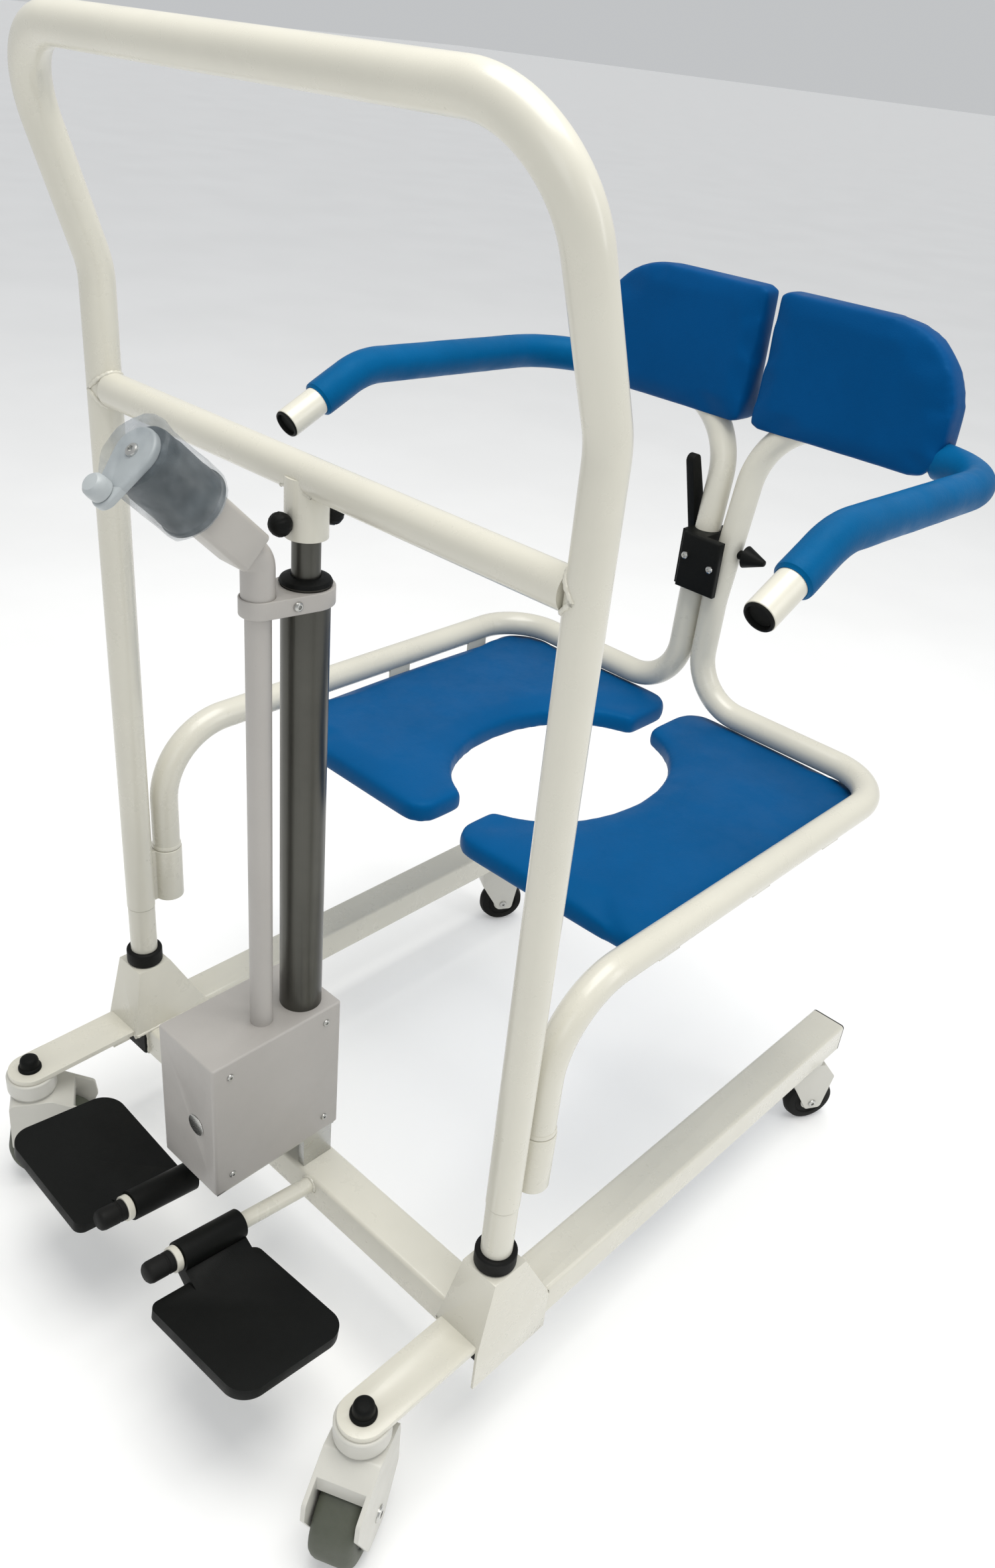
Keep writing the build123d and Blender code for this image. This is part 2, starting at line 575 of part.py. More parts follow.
def crank():
    """The fixed tube, elbow and gear head, then the turning shaft, hub, arm and grip."""
    tube_top = ELBOW_Z - 12
    save(upright(0, CRANK_TUBE_Y, BRIDGE_Z1, tube_top, CRANK_TUBE_D, CRANK_TUBE_BORE), "crank_tube")
    base = Vector(0, CRANK_TUBE_Y, ELBOW_Z)
    elbow = bent_tube(
        [(0, CRANK_TUBE_Y, SLEEVE_Z0), base, crank_plane(HEAD_START).origin],
        14, SLEEVE_D, (SLEEVE_D - CRANK_TUBE_D) / 2,
    )
    save(elbow, "crank_elbow")

    bore = SHAFT_D / 2 + 1
    with BuildPart() as head:
        with BuildSketch(crank_plane(HEAD_START)):
            Rectangle(HEAD_W, HEAD_H)
        extrude(amount=HEAD_END - HEAD_START)
        fillet(head.edges().filter_by(lambda e: abs(e.length - (HEAD_END - HEAD_START)) < 0.1), 4)
        with BuildSketch(crank_plane(HEAD_START)):
            Circle(CRANK_TUBE_D / 2)
        extrude(amount=HEAD_END - HEAD_START - 10, mode=Mode.SUBTRACT)
        with BuildSketch(crank_plane(HEAD_START)):
            Circle(bore + RUNNING)
        extrude(amount=HEAD_END - HEAD_START, mode=Mode.SUBTRACT)
    save(head, "gear_head")

    hub_start = HEAD_END + GAP
    with BuildPart() as shaft:
        with BuildSketch(crank_plane(2.5)):
            Circle(4)
        with BuildSketch(crank_plane(5)):
            Circle(8)
        loft()
        with BuildSketch(crank_plane(5)):
            Circle(bore)
        extrude(amount=hub_start + HUB_LENGTH - 5)
    save(shaft, "crank_shaft")
    with BuildPart() as hub:
        with BuildSketch(crank_plane(hub_start)):
            Circle(HUB_R0)
        with BuildSketch(crank_plane(hub_start + HUB_LENGTH)):
            Circle(HUB_R1)
        loft()
        fillet(hub.edges().filter_by(GeomType.CIRCLE), 3)
        with BuildSketch(crank_plane(hub_start)):
            Circle(bore)
        extrude(amount=HUB_LENGTH, mode=Mode.SUBTRACT)
    save(hub, "crank_hub")

    arm_start = hub_start + HUB_LENGTH
    with BuildPart() as arm:
        with BuildSketch(crank_plane(arm_start)):
            Circle(HUB_R1 - 6)
            with Locations((0, -CRANK_ARM_R)):
                Circle(GRIP_R + 1.5)
            make_hull()
        extrude(amount=CRANK_ARM_T)
        fillet(arm.edges().group_by(Axis(base, crank_plane(0).z_dir))[-1], 2)
        with BuildSketch(crank_plane(arm_start)):
            with Locations((0, -CRANK_ARM_R)):
                Circle(GRIP_PIN_R)
        extrude(amount=CRANK_ARM_T + GRIP_LENGTH - 3)
    save(arm, "crank_arm")
    with BuildPart() as grip:
        with BuildSketch(crank_plane(arm_start + CRANK_ARM_T + GAP)):
            with Locations((0, -CRANK_ARM_R)):
                Circle(GRIP_R)
        extrude(amount=GRIP_LENGTH)
        fillet(grip.edges().group_by(Axis(base, crank_plane(0).z_dir))[-1], 4)
        with BuildSketch(crank_plane(arm_start + CRANK_ARM_T + GAP)):
            with Locations((0, -CRANK_ARM_R)):
                Circle(GRIP_PIN_R + RUNNING)
        extrude(amount=GRIP_LENGTH - 3, mode=Mode.SUBTRACT)
    save(grip, "crank_grip")


# ======================================================================================
# Lifting frame
# ======================================================================================

def handle_frame():
    """One bent tube: both posts, their forward kink and the push bar across the top."""
    half = [(POST_X, 0, POST_BOTTOM), (POST_X, 0, KINK_Z), (TOP_X, TOP_Y, TOP_Z)]
    left = [(-x, y, z) for x, y, z in half]
    frame = bent_tube(left + half[::-1], [KINK_R, TOP_R, TOP_R, KINK_R], TUBE_D, TUBE_WALL)
    save(frame, "handle_frame")


def crossbar():
    """The tube between the posts, coped to their round faces, and its tee and knobs."""
    with BuildPart() as bar:
        end = Plane(origin=(-POST_X, 0, CROSSBAR_Z), z_dir=(1, 0, 0))
        extrude(ring_section(end, TUBE_D, TUBE_D - 2 * TUBE_WALL), amount=2 * POST_X)
        with Locations((-POST_X, 0, CROSSBAR_Z), (POST_X, 0, CROSSBAR_Z)):
            Cylinder(TUBE_D / 2, 2 * TUBE_D, mode=Mode.SUBTRACT)
    save(bar, "crossbar")
    with BuildPart() as tee:
        extrude(ring_section(Plane.XY.offset(TEE_BOTTOM), TEE_D, PISTON_D), amount=CROSSBAR_Z - TEE_BOTTOM)
        with Locations(Location((0, 0, CROSSBAR_Z), (0, 90, 0))):
            Cylinder(TUBE_D / 2, 2 * TUBE_D, mode=Mode.SUBTRACT)
        with Locations(Location((0, 0, KNOB_Z), (90, 0, 0))):
            Cylinder(KNOB_PIN_R, 2 * TEE_D, mode=Mode.SUBTRACT)
    save(tee, "tee_sleeve")
    with BuildPart() as knobs:
        with Locations((0, KNOB_REACH, KNOB_Z), (0, -KNOB_REACH, KNOB_Z)):
            Sphere(KNOB_R)
        with Locations((0, 0, KNOB_Z)):
            Cylinder(TEE_D / 2, 4 * KNOB_R, mode=Mode.SUBTRACT)
        for end in (-1, 1):
            with Locations(Location((0, end * (PISTON_D / 2 + KNOB_REACH) / 2, KNOB_Z), (90, 0, 0))):
                Cylinder(KNOB_PIN_R, KNOB_REACH - PISTON_D / 2)
    save(knobs, "tee_knobs")


def seat_hinges():
    """Sleeves on welded plates behind the posts; the seat halves' pins turn in them."""
    with BuildPart() as hinges:
        for side in SIDES.values():
            with BuildSketch(Plane.XY.offset(HINGE_Z0)):
                with Locations((side * POST_X, HINGE_Y)):
                    Circle(HINGE_D / 2)
                with Locations((side * POST_X, HINGE_Y / 2)):
                    Rectangle(6, HINGE_Y)
                with Locations((side * POST_X, HINGE_Y)):
                    Circle(HINGE_PIN_D / 2 + RUNNING, mode=Mode.SUBTRACT)
                with Locations((side * POST_X, 0)):
                    Circle(TUBE_D / 2, mode=Mode.SUBTRACT)
            extrude(amount=HINGE_Z1 - HINGE_Z0)
    save(hinges, "seat_hinges")


# ======================================================================================
# Seat halves
# ======================================================================================

def seat_route(side):
    """Corners of a seat half's single bent tube, from the hinge to the arm's end."""
    points = [
        (POST_X, HINGE_Y, HINGE_Z1 + GAP), (POST_X, HINGE_Y, RAIL_Z),
        (POST_X, REAR_TUBE_Y, RAIL_Z), (BACK_X, REAR_TUBE_Y, RAIL_Z),
        (BACK_X, BACK_Y, BACK_BEND_Z), (BACK_TOP_X, BACK_TOP_Y, BACK_TOP_Z),
        (ARM_X, BACK_TOP_Y, BACK_TOP_Z), (ARM_X, DROOP_Y, ARM_Z), (ARM_X, ARM_END_Y, ARM_END_Z),
    ]
    return [(side * x, y, z) for x, y, z in points]


def seat_rod(side):
    """The solid that a seat half's tube fills, to cut its way through other pieces."""
    with BuildPart() as rod:
        with BuildLine() as run:
            FilletPolyline(*seat_route(side), radius=SEAT_BENDS)
        with BuildSketch(Plane(origin=run.line @ 0, z_dir=run.line % 0)):
            Circle(SEAT_TUBE_D / 2)
        sweep(path=run.line)
    return rod.part


def seat_frame(side, name):
    """The seat half's tube, with the hinge pin and its shoulder at the foot."""
    with BuildPart() as frame:
        with BuildLine() as run:
            FilletPolyline(*seat_route(side), radius=SEAT_BENDS)
        start = Plane(origin=run.line @ 0, z_dir=run.line % 0)
        sweep(ring_section(start, SEAT_TUBE_D, SEAT_TUBE_D - 2 * TUBE_WALL), path=run.line)
        with Locations((side * POST_X, HINGE_Y, HINGE_Z1 + GAP)):
            Cylinder(SEAT_TUBE_D / 2, PIN_SHOULDER, align=ON_BASE)
        with Locations((side * POST_X, HINGE_Y, HINGE_Z0 + GAP)):
            Cylinder(HINGE_PIN_D / 2, HINGE_Z1 - HINGE_Z0, align=ON_BASE)
    save(frame, f"seat_frame_{name}")


def seat_pad(side, name):
    """Half of the horseshoe cushion, cut away round the central opening."""
    neck, tail, outer = side * PAD_NECK, side * PAD_TAIL, side * PAD_OUTER_X
    corners = [
        (neck, PAD_FRONT_Y, PAD_CORNER_NECK), (outer, PAD_FRONT_Y, PAD_CORNER_FRONT),
        (outer, PAD_REAR_Y, PAD_CORNER_REAR), (tail, PAD_REAR_Y, PAD_CORNER_TAIL),
        (neck, PAD_HOLE_Y - PAD_HOLE_RY, PAD_CORNER_TIP), (tail, PAD_HOLE_Y + PAD_HOLE_RY, PAD_CORNER_TIP),
    ]
    with BuildPart() as pad:
        with BuildSketch(Plane.XY.offset(PAD_BOTTOM)) as outline:
            with BuildLine():
                Polyline(
                    (neck, PAD_FRONT_Y), (outer, PAD_FRONT_Y), (outer, PAD_REAR_Y), (tail, PAD_REAR_Y),
                    (tail, PAD_HOLE_Y), (neck, PAD_HOLE_Y), close=True,
                )
            make_face()
            with Locations((0, PAD_HOLE_Y)):
                Ellipse(PAD_HOLE_RX, PAD_HOLE_RY, mode=Mode.SUBTRACT)
            for x, y, radius in corners:
                fillet(outline.vertices().sort_by_distance((x, y, 0))[0], radius)
        extrude(amount=PAD_TOP - PAD_BOTTOM)
        fillet(pad.edges().group_by(Axis.Z)[-1], PAD_EDGE)
    save(pad, f"seat_pad_{name}")


def back_pad(side, name):
    """Half of the back cushion: a wedge with a large rounded outer top corner, closed
    round the tube that carries it."""
    x0, x1 = side * BACK_X0, side * BACK_X1
    rod = seat_rod(side)
    with BuildPart() as pad:
        with BuildSketch(Plane.XZ.offset(-BACK_REAR)):
            with BuildLine():
                FilletPolyline(
                    (x0, BACK_Z0), (x1, BACK_Z0), (x1, BACK_Z1), (x0, BACK_Z1),
                    radius=[BACK_CORNER_INNER, BACK_CORNER_LOW, BACK_CORNER_TOP, BACK_CORNER_INNER], close=True,
                )
            make_face()
        extrude(amount=BACK_REAR - BACK_FRONT_LOW)
        with BuildSketch(Plane.YZ.offset(min(x0, x1))):
            Polygon(
                (BACK_FRONT_LOW, BACK_Z0), (BACK_FRONT_TOP, BACK_Z1), (BACK_FRONT_LOW, BACK_Z1), align=None,
            )
        extrude(amount=BACK_X1 - BACK_X0, mode=Mode.SUBTRACT)
        add(rod, mode=Mode.SUBTRACT)
    save(pad, f"back_pad_{name}")


def pad_brackets(side, name):
    """Angle brackets from a seat half's rail down and in under its pad."""
    with BuildPart() as brackets:
        for y in TAB_YS:
            with Locations((side * (TAB_X - TAB_REACH / 2), y, PAD_BOTTOM - TAB_T)):
                Box(TAB_REACH, TAB_W, TAB_T, align=ON_BASE)
            with Locations((side * (TAB_X - TAB_T / 2), y, PAD_BOTTOM - TAB_T)):
                Box(TAB_T, TAB_W, TAB_TOP - PAD_BOTTOM + TAB_T, align=ON_BASE)
        with Locations(Location((side * POST_X, REAR_TUBE_Y / 2, RAIL_Z), (90, 0, 0))):
            Cylinder(SEAT_TUBE_D / 2, REAR_TUBE_Y, mode=Mode.SUBTRACT)
    save(brackets, f"pad_brackets_{name}")


def arm_foam(side, name):
    """The padded grip that follows the arm from the back pad's side to its droop."""
    rear, droop, end = (Vector(*point) for point in seat_route(side)[6:])
    start = rear - Vector(side * (SEAT_BENDS[5] + TAB_T), 0, 0)
    stop = end + (droop - end).normalized() * FOAM_SHORT
    foam = bent_tube([start, rear, droop, stop], SEAT_BENDS[5:], FOAM_D, (FOAM_D - SEAT_TUBE_D) / 2)
    with foam:
        with Locations((side * FOAM_START_X, rear.Y, rear.Z)):
            Box(2 * (FOAM_START_X - start.X * side), 2 * FOAM_D, 2 * FOAM_D, mode=Mode.SUBTRACT,
                align=(Align.MAX if side == RIGHT else Align.MIN, Align.CENTER, Align.CENTER))
    save(foam, f"arm_foam_{name}")


def arm_caps():
    """Black end plugs in the arms' open ends."""
    for name, side in SIDES.items():
        route = seat_route(side)
        end = Vector(*route[-1])
        outward = (end - Vector(*route[-2])).normalized()
        with BuildPart() as cap:
            with BuildSketch(Plane(origin=end, z_dir=outward)):
                Circle(SEAT_TUBE_D / 2 - 1)
            extrude(amount=CAP_T)
            fillet(cap.edges().sort_by(Axis(end, outward))[-1], 1)
            with BuildSketch(Plane(origin=end, z_dir=outward)):
                Circle(SEAT_TUBE_D / 2 - TUBE_WALL)
            extrude(amount=-4 * CAP_T)
        save(cap, f"arm_cap_{name}")


def latch():
    """Latch body clamped on the left upright with a plate before both uprights, its
    lever, and the striking knob on the right upright."""
    mid_z, height = (LATCH_Z0 + LATCH_Z1) / 2, LATCH_Z1 - LATCH_Z0
    left_rod, right_rod = seat_rod(LEFT), seat_rod(RIGHT)
    with BuildPart() as block:
        with Locations(((CLAMP_X0 + CLAMP_X1) / 2, (CLAMP_Y0 + CLAMP_Y1) / 2, mid_z)):
            Box(CLAMP_X1 - CLAMP_X0, CLAMP_Y1 - CLAMP_Y0, height)
        fillet(block.edges().filter_by(Axis.Z).group_by(Axis.Y)[-1], 6)
        with Locations(((FACE_X0 + FACE_X1) / 2, (FACE_Y0 + CLAMP_Y0) / 2, mid_z)):
            Box(FACE_X1 - FACE_X0, CLAMP_Y0 - FACE_Y0, height)
        fillet(block.edges().group_by(Axis.Y)[0], 3)
        with Locations(Location((LEVER_X + GAP, LEVER_Y, LEVER_Z), (0, 90, 0))):
            Cylinder(2 * LEVER_PIN_R, CLAMP_X0 - LEVER_X, align=ON_BASE)
        with Locations(Location((LEVER_X, LEVER_Y, LEVER_Z), (0, 90, 0))):
            Cylinder(LEVER_PIN_R + RUNNING, PIN_REACH, align=ON_BASE, mode=Mode.SUBTRACT)
        add(left_rod, mode=Mode.SUBTRACT)
    save(block, "latch_block")

    with BuildPart() as lever:
        with BuildSketch(Plane.YZ.offset(LEVER_X - LEVER_T)):
            with Locations((LEVER_Y, LEVER_Z)):
                Circle(LEVER_W / 2)
            with Locations((LEVER_TOP_Y, LEVER_TOP_Z)):
                Circle(LEVER_TIP_R)
            make_hull()
        extrude(amount=LEVER_T)
        fillet(lever.edges().group_by(Axis.X)[0], 2)
        with Locations(Location((LEVER_X, LEVER_Y, LEVER_Z), (0, 90, 0))):
            Cylinder(LEVER_PIN_R, PIN_REACH - GAP, align=ON_BASE)
    save(lever, "latch_lever")

    with BuildPart() as strike:
        with Locations(Location((STRIKE_X0, STRIKE_Y, STRIKE_Z), (0, 90, 0))):
            Cylinder(STRIKE_COLLAR_R, STRIKE_X1 - STRIKE_X0, align=ON_BASE)
        with Locations(Location((STRIKE_X1, STRIKE_Y, STRIKE_Z), (0, 90, 0))):
            Cone(STRIKE_R, STRIKE_TIP_R, STRIKE_TIP - STRIKE_X1, align=ON_BASE)
        fillet(strike.edges().filter_by(GeomType.CIRCLE).group_by(Axis.X)[-1], 2)
        add(right_rod, mode=Mode.SUBTRACT)
    save(strike, "strike_knob")


# ======================================================================================
# Footrests
# ======================================================================================

def foot_plane(side, distance):
    """The plane square to a footrest's tube: X to the right, Y up and slightly back."""
    rise = radians(FOOT_RISE)
    axis = Vector(0, -cos(rise), sin(rise))
    root = Vector(side * FOOT_X, LEG_FRONT_Y, FOOT_ROOT_Z)
    return Plane(origin=root + axis * distance, x_dir=(1, 0, 0), z_dir=axis)


def foot_tubes():
    """The tubes that carry the footplates, each with its washer, and their end plugs."""
    end = WASHER_START + WASHER_T
    bore = FOOT_TUBE_D - 2 * TUBE_WALL
    with BuildPart() as tubes:
        for side in SIDES.values():
            start = foot_plane(side, -2 * TUBE_WALL)
            extrude(ring_section(start, FOOT_TUBE_D, bore), amount=end + 2 * TUBE_WALL)
            extrude(ring_section(foot_plane(side, WASHER_START), 2 * WASHER_R, bore), amount=WASHER_T)
        with Locations((0, CROSS_Y, FOOT_ROOT_Z)):
            Box(4 * FOOT_X, LEG_W, 2 * FOOT_TUBE_D, mode=Mode.SUBTRACT)
    save(tubes, "foot_tubes")
    with BuildPart() as plugs:
        for side in SIDES.values():
            with BuildSketch(foot_plane(side, end)):
                Circle(PLUG_R)
            extrude(amount=PLUG_LENGTH)
        fillet(plugs.edges().group_by(Axis.Y)[0], 3)
        for side in SIDES.values():
            with BuildSketch(foot_plane(side, end - PLUG_R)):
                Circle(FOOT_TUBE_D / 2 - TUBE_WALL)
            extrude(amount=PLUG_R)
    save(plugs, "foot_plugs")


def foot_plate(side, name):
    """A moulded plate hung from a barrel that turns on the footrest's tube."""
    run = PLATE_OUTER - PLATE_INNER
    lift = run * tan(radians(PLATE_TILT))
    low = -PLATE_DROP - PLATE_T
    with BuildPart() as plate:
        with BuildSketch(foot_plane(side, PLATE_START)):
            Polygon(
                (side * PLATE_INNER, low), (side * PLATE_OUTER, low + lift),
                (side * PLATE_OUTER, low + lift + PLATE_T), (side * PLATE_INNER, -PLATE_DROP), align=None,
            )
        extrude(amount=PLATE_LENGTH)
        corners = plate.edges().filter_by(lambda e: abs(e.length - PLATE_T) < 0.1)
        inward_out = corners.group_by(Axis.X)[::side]
        fillet(inward_out[-1], PLATE_CORNER)
        fillet(inward_out[0], PLATE_CORNER_INNER)
        with BuildSketch(foot_plane(side, BARREL_START)):
            Circle(BARREL_R)
            Polygon(
                (-side * BARREL_R / 2, -BARREL_R * 0.8), (side * PLATE_INNER, low),
                (side * (PLATE_INNER + BARREL_R), low + PLATE_T), (side * BARREL_R * 0.9, -BARREL_R / 2),
                align=None,
            )
            Circle(FOOT_TUBE_D / 2 + RUNNING, mode=Mode.SUBTRACT)
        extrude(amount=BARREL_LENGTH)
    save(plate, f"foot_plate_{name}")


cross_tube()
base_legs()
leg_end_caps()
post_sockets()
front_arms()
post_guides()
swivel_rings()
stem_caps()
casters()
gearbox_frame()
gearbox_cover()
column()
drive_train()
crank()
handle_frame()
crossbar()
seat_hinges()
arm_caps()
latch()
foot_tubes()
for side_name, side_sign in SIDES.items():
    seat_frame(side_sign, side_name)
    seat_pad(side_sign, side_name)
    back_pad(side_sign, side_name)
    pad_brackets(side_sign, side_name)
    arm_foam(side_sign, side_name)
    foot_plate(side_sign, side_name)
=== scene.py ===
"""The looks of the sit to stand lift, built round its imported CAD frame. Metres, +Z up."""

import json
import math

import bmesh
import bpy
from mathutils import Matrix, Vector, noise


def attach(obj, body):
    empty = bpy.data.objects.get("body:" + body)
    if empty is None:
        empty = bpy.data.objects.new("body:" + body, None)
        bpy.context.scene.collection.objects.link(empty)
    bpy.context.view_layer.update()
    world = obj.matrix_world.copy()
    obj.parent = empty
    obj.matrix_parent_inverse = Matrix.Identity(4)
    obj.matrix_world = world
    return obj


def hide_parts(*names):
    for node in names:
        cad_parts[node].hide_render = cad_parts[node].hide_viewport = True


MM = 0.001
SIDES = {"right": 1, "left": -1}
SHARP_DEG = 38          # edges steeper than this stay sharp on turned and swept pieces
SHARP_SKIN_DEG = 30     # and on bevelled skins and bolts
TURN = 2 * math.pi
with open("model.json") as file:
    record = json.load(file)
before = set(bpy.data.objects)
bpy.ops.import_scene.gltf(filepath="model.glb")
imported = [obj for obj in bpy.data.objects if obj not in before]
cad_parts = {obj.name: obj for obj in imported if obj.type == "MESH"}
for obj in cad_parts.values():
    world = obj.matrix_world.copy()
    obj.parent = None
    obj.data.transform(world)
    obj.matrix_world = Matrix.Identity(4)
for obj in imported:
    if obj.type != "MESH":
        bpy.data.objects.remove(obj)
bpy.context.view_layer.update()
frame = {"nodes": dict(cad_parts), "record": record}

record = frame["record"]
NODE_SLOT = {s["node"]: s["material_slot"] for s in record["subparts"]}
BODY = {n: b for b, members in record["behaviour"]["bodies"].items() for n in members}


# ---- materials ---------------------------------------------------------------------

class Nodes:
    """A small helper that builds one node material from object-space textures."""

    def __init__(self, name):
        self.mat = bpy.data.materials.new(name)
        self.mat.use_nodes = True
        self.tree = self.mat.node_tree
        self.shader = self.tree.nodes["Principled BSDF"]
        self.coord = self.tree.nodes.new("ShaderNodeTexCoord")
        self.height = None

    def link(self, out, into):
        self.tree.links.new(out, into)

    def mapped(self, stretch):
        node = self.tree.nodes.new("ShaderNodeMapping")
        node.inputs["Scale"].default_value = stretch
        self.link(self.coord.outputs["Object"], node.inputs["Vector"])
        return node.outputs["Vector"]

    def noise(self, scale, detail=4.0, rough=0.55, stretch=(1, 1, 1)):
        node = self.tree.nodes.new("ShaderNodeTexNoise")
        node.inputs["Scale"].default_value = scale
        node.inputs["Detail"].default_value = detail
        node.inputs["Roughness"].default_value = rough
        self.link(self.mapped(stretch), node.inputs["Vector"])
        return node.outputs["Fac"]

    def cells(self, scale):
        node = self.tree.nodes.new("ShaderNodeTexVoronoi")
        node.inputs["Scale"].default_value = scale
        self.link(self.mapped((1, 1, 1)), node.inputs["Vector"])
        return node.outputs["Distance"]

    def ramp(self, value, low, high, a, b):
        node = self.tree.nodes.new("ShaderNodeMapRange")
        node.interpolation_type = "SMOOTHSTEP"
        for key, x in (("From Min", low), ("From Max", high), ("To Min", a), ("To Max", b)):
            node.inputs[key].default_value = x
        self.link(value, node.inputs["Value"])
        return node.outputs["Result"]

    def mix(self, factor, a, b):
        node = self.tree.nodes.new("ShaderNodeMix")
        node.data_type = "RGBA"
        self.link(factor, node.inputs["Factor"])
        for key, colour in ((6, a), (7, b)):
            if isinstance(colour, tuple):
                node.inputs[key].default_value = (*colour, 1)
            else:
                self.link(colour, node.inputs[key])
        return node.outputs[2]

    def bump(self, value, strength, distance):
        node = self.tree.nodes.new("ShaderNodeBump")
        node.inputs["Strength"].default_value = strength
        node.inputs["Distance"].default_value = distance
        self.link(value, node.inputs["Height"])
        if self.height:
            self.link(self.height, node.inputs["Normal"])
        self.height = node.outputs["Normal"]
        self.link(self.height, self.shader.inputs["Normal"])

    def set(self, **values):
        for key, value in values.items():
            self.shader.inputs[key.replace("_", " ")].default_value = value


DUST = (0.30, 0.28, 0.25)


def shade(colour, k):
    return tuple(min(1, c * k) for c in colour)


def finish_of(name, colour, rough, metal=0.0, grain=900, grain_bump=0.12, wave=30, wave_bump=0.05,
              spread=0.07, dirt=0.0, stretch=(1, 1, 1), coat=0.0, cells=0, specular=0.5, specks=0.25,
              tint=(1, 1, 1)):
    """One finish: blotchy colour, uneven gloss, fine grain, and dust or handling marks."""
    n = Nodes(name)
    blotch = n.noise(9, 5, 0.6)
    base = n.mix(n.ramp(blotch, 0.35, 0.65, 0, 1), shade(colour, 1 - spread), shade(colour, 1 + spread))
    speck = n.noise(240, 2, 0.7, stretch)
    base = n.mix(n.ramp(speck, 0.62, 0.8, 0, specks), base, shade(colour, 0.72))
    if dirt:
        smudge = n.noise(3.5, 8, 0.75)
        base = n.mix(n.ramp(smudge, 0.5, 0.85, 0, dirt), base, DUST)
    n.link(base, n.shader.inputs["Base Color"])
    gloss = n.noise(26, 6, 0.65, stretch)
    n.link(n.ramp(gloss, 0.3, 0.75, rough * 0.82, min(1, rough * 1.25)), n.shader.inputs["Roughness"])
    n.set(Metallic=metal, Specular_IOR_Level=specular, Specular_Tint=(*tint, 1))
    if coat:
        n.shader.inputs["Coat Weight"].default_value = coat
        n.shader.inputs["Coat Roughness"].default_value = 0.18
    n.bump(n.noise(wave, 3, 0.5), wave_bump, 0.002)
    if cells:
        n.bump(n.cells(cells), grain_bump, 0.0004)
    n.bump(n.noise(grain, 3, 0.6, stretch), grain_bump, 0.0003)
    return n.mat


CREAM = (0.64, 0.62, 0.535)
VINYL = dict(grain=520, grain_bump=0.16, cells=760, wave=22, wave_bump=0.05, spread=0.05, specular=0.16,
             tint=(0.15, 0.5, 0.8))
M = {
    "frame_cream": finish_of("powder_coat_cream", CREAM, 0.30, grain=700, grain_bump=0.06, wave=60,
                             wave_bump=0.012, coat=0.3, dirt=0.015, spread=0.02, specks=0.05),
    "head_cream": finish_of("moulded_cream", (0.43, 0.41, 0.38), 0.40, grain=1100, grain_bump=0.10,
                            wave_bump=0.02, spread=0.03, specks=0.08),
    "caster_cream": finish_of("caster_cream", (0.57, 0.56, 0.51), 0.34, grain=900, grain_bump=0.08,
                              wave_bump=0.015, dirt=0.04, spread=0.03, specks=0.08),
    "cover_grey": finish_of("textured_grey_paint", (0.42, 0.40, 0.375), 0.42, grain=520, grain_bump=0.28,
                            wave_bump=0.015, dirt=0.02, spread=0.025, specks=0.12),
    "column_steel": finish_of("brushed_column", (0.085, 0.084, 0.074), 0.32, metal=0.85, grain=700,
                              grain_bump=0.22, stretch=(1, 1, 0.03), spread=0.08),
    "machined_steel": finish_of("machined_steel", (0.52, 0.52, 0.50), 0.28, metal=1.0, grain=800,
                                grain_bump=0.18, stretch=(0.1, 0.1, 1), spread=0.08),
    "black_plastic": finish_of("black_moulding", (0.0055, 0.006, 0.0055), 0.48, grain=800, grain_bump=0.30,
                               cells=1400, spread=0.15, specular=0.10),
    "black_rubber": finish_of("black_rubber", (0.009, 0.009, 0.0085), 0.6, grain=500, grain_bump=0.3,
                              spread=0.15, dirt=0.01, specular=0.12),
    "seat_vinyl": finish_of("seat_skin_blue", (0.0006, 0.072, 0.215), 0.48, **VINYL),
    "back_vinyl": finish_of("back_skin_blue", (0.0006, 0.056, 0.185), 0.50, **VINYL),
    "arm_vinyl": finish_of("arm_foam_blue", (0.0006, 0.085, 0.225), 0.50,
                           **{**VINYL, "grain": 420, "grain_bump": 0.26, "cells": 620, "wave": 30,
                              "wave_bump": 0.10, "spread": 0.07}),
    "tread_grey": finish_of("tread_olive", (0.070, 0.077, 0.056), 0.60, grain=500, grain_bump=0.25,
                            spread=0.14, dirt=0.15),
    "hub_grey": finish_of("hub_grey", (0.028, 0.036, 0.040), 0.40, grain=700, spread=0.08),
    "wrap_grey": finish_of("grip_grey", (0.40, 0.43, 0.44), 0.35, grain=700, spread=0.06),
}
wrap = Nodes("clear_wrap")
wrap.link(wrap.mix(wrap.ramp(wrap.noise(40, 4), 0.35, 0.7, 0, 1), (0.20, 0.235, 0.26), (0.42, 0.46, 0.49)),
          wrap.shader.inputs["Base Color"])
wrap.link(wrap.ramp(wrap.noise(60, 5, 0.6), 0.3, 0.7, 0.25, 0.5), wrap.shader.inputs["Roughness"])
wrap.link(wrap.ramp(wrap.noise(22, 4), 0.35, 0.65, 0.18, 0.48), wrap.shader.inputs["Alpha"])
wrap.bump(wrap.noise(90, 4, 0.6, (1, 1, 0.4)), 0.5, 0.002)
M["clear_wrap"] = wrap.mat


# ---- mesh tools --------------------------------------------------------------------

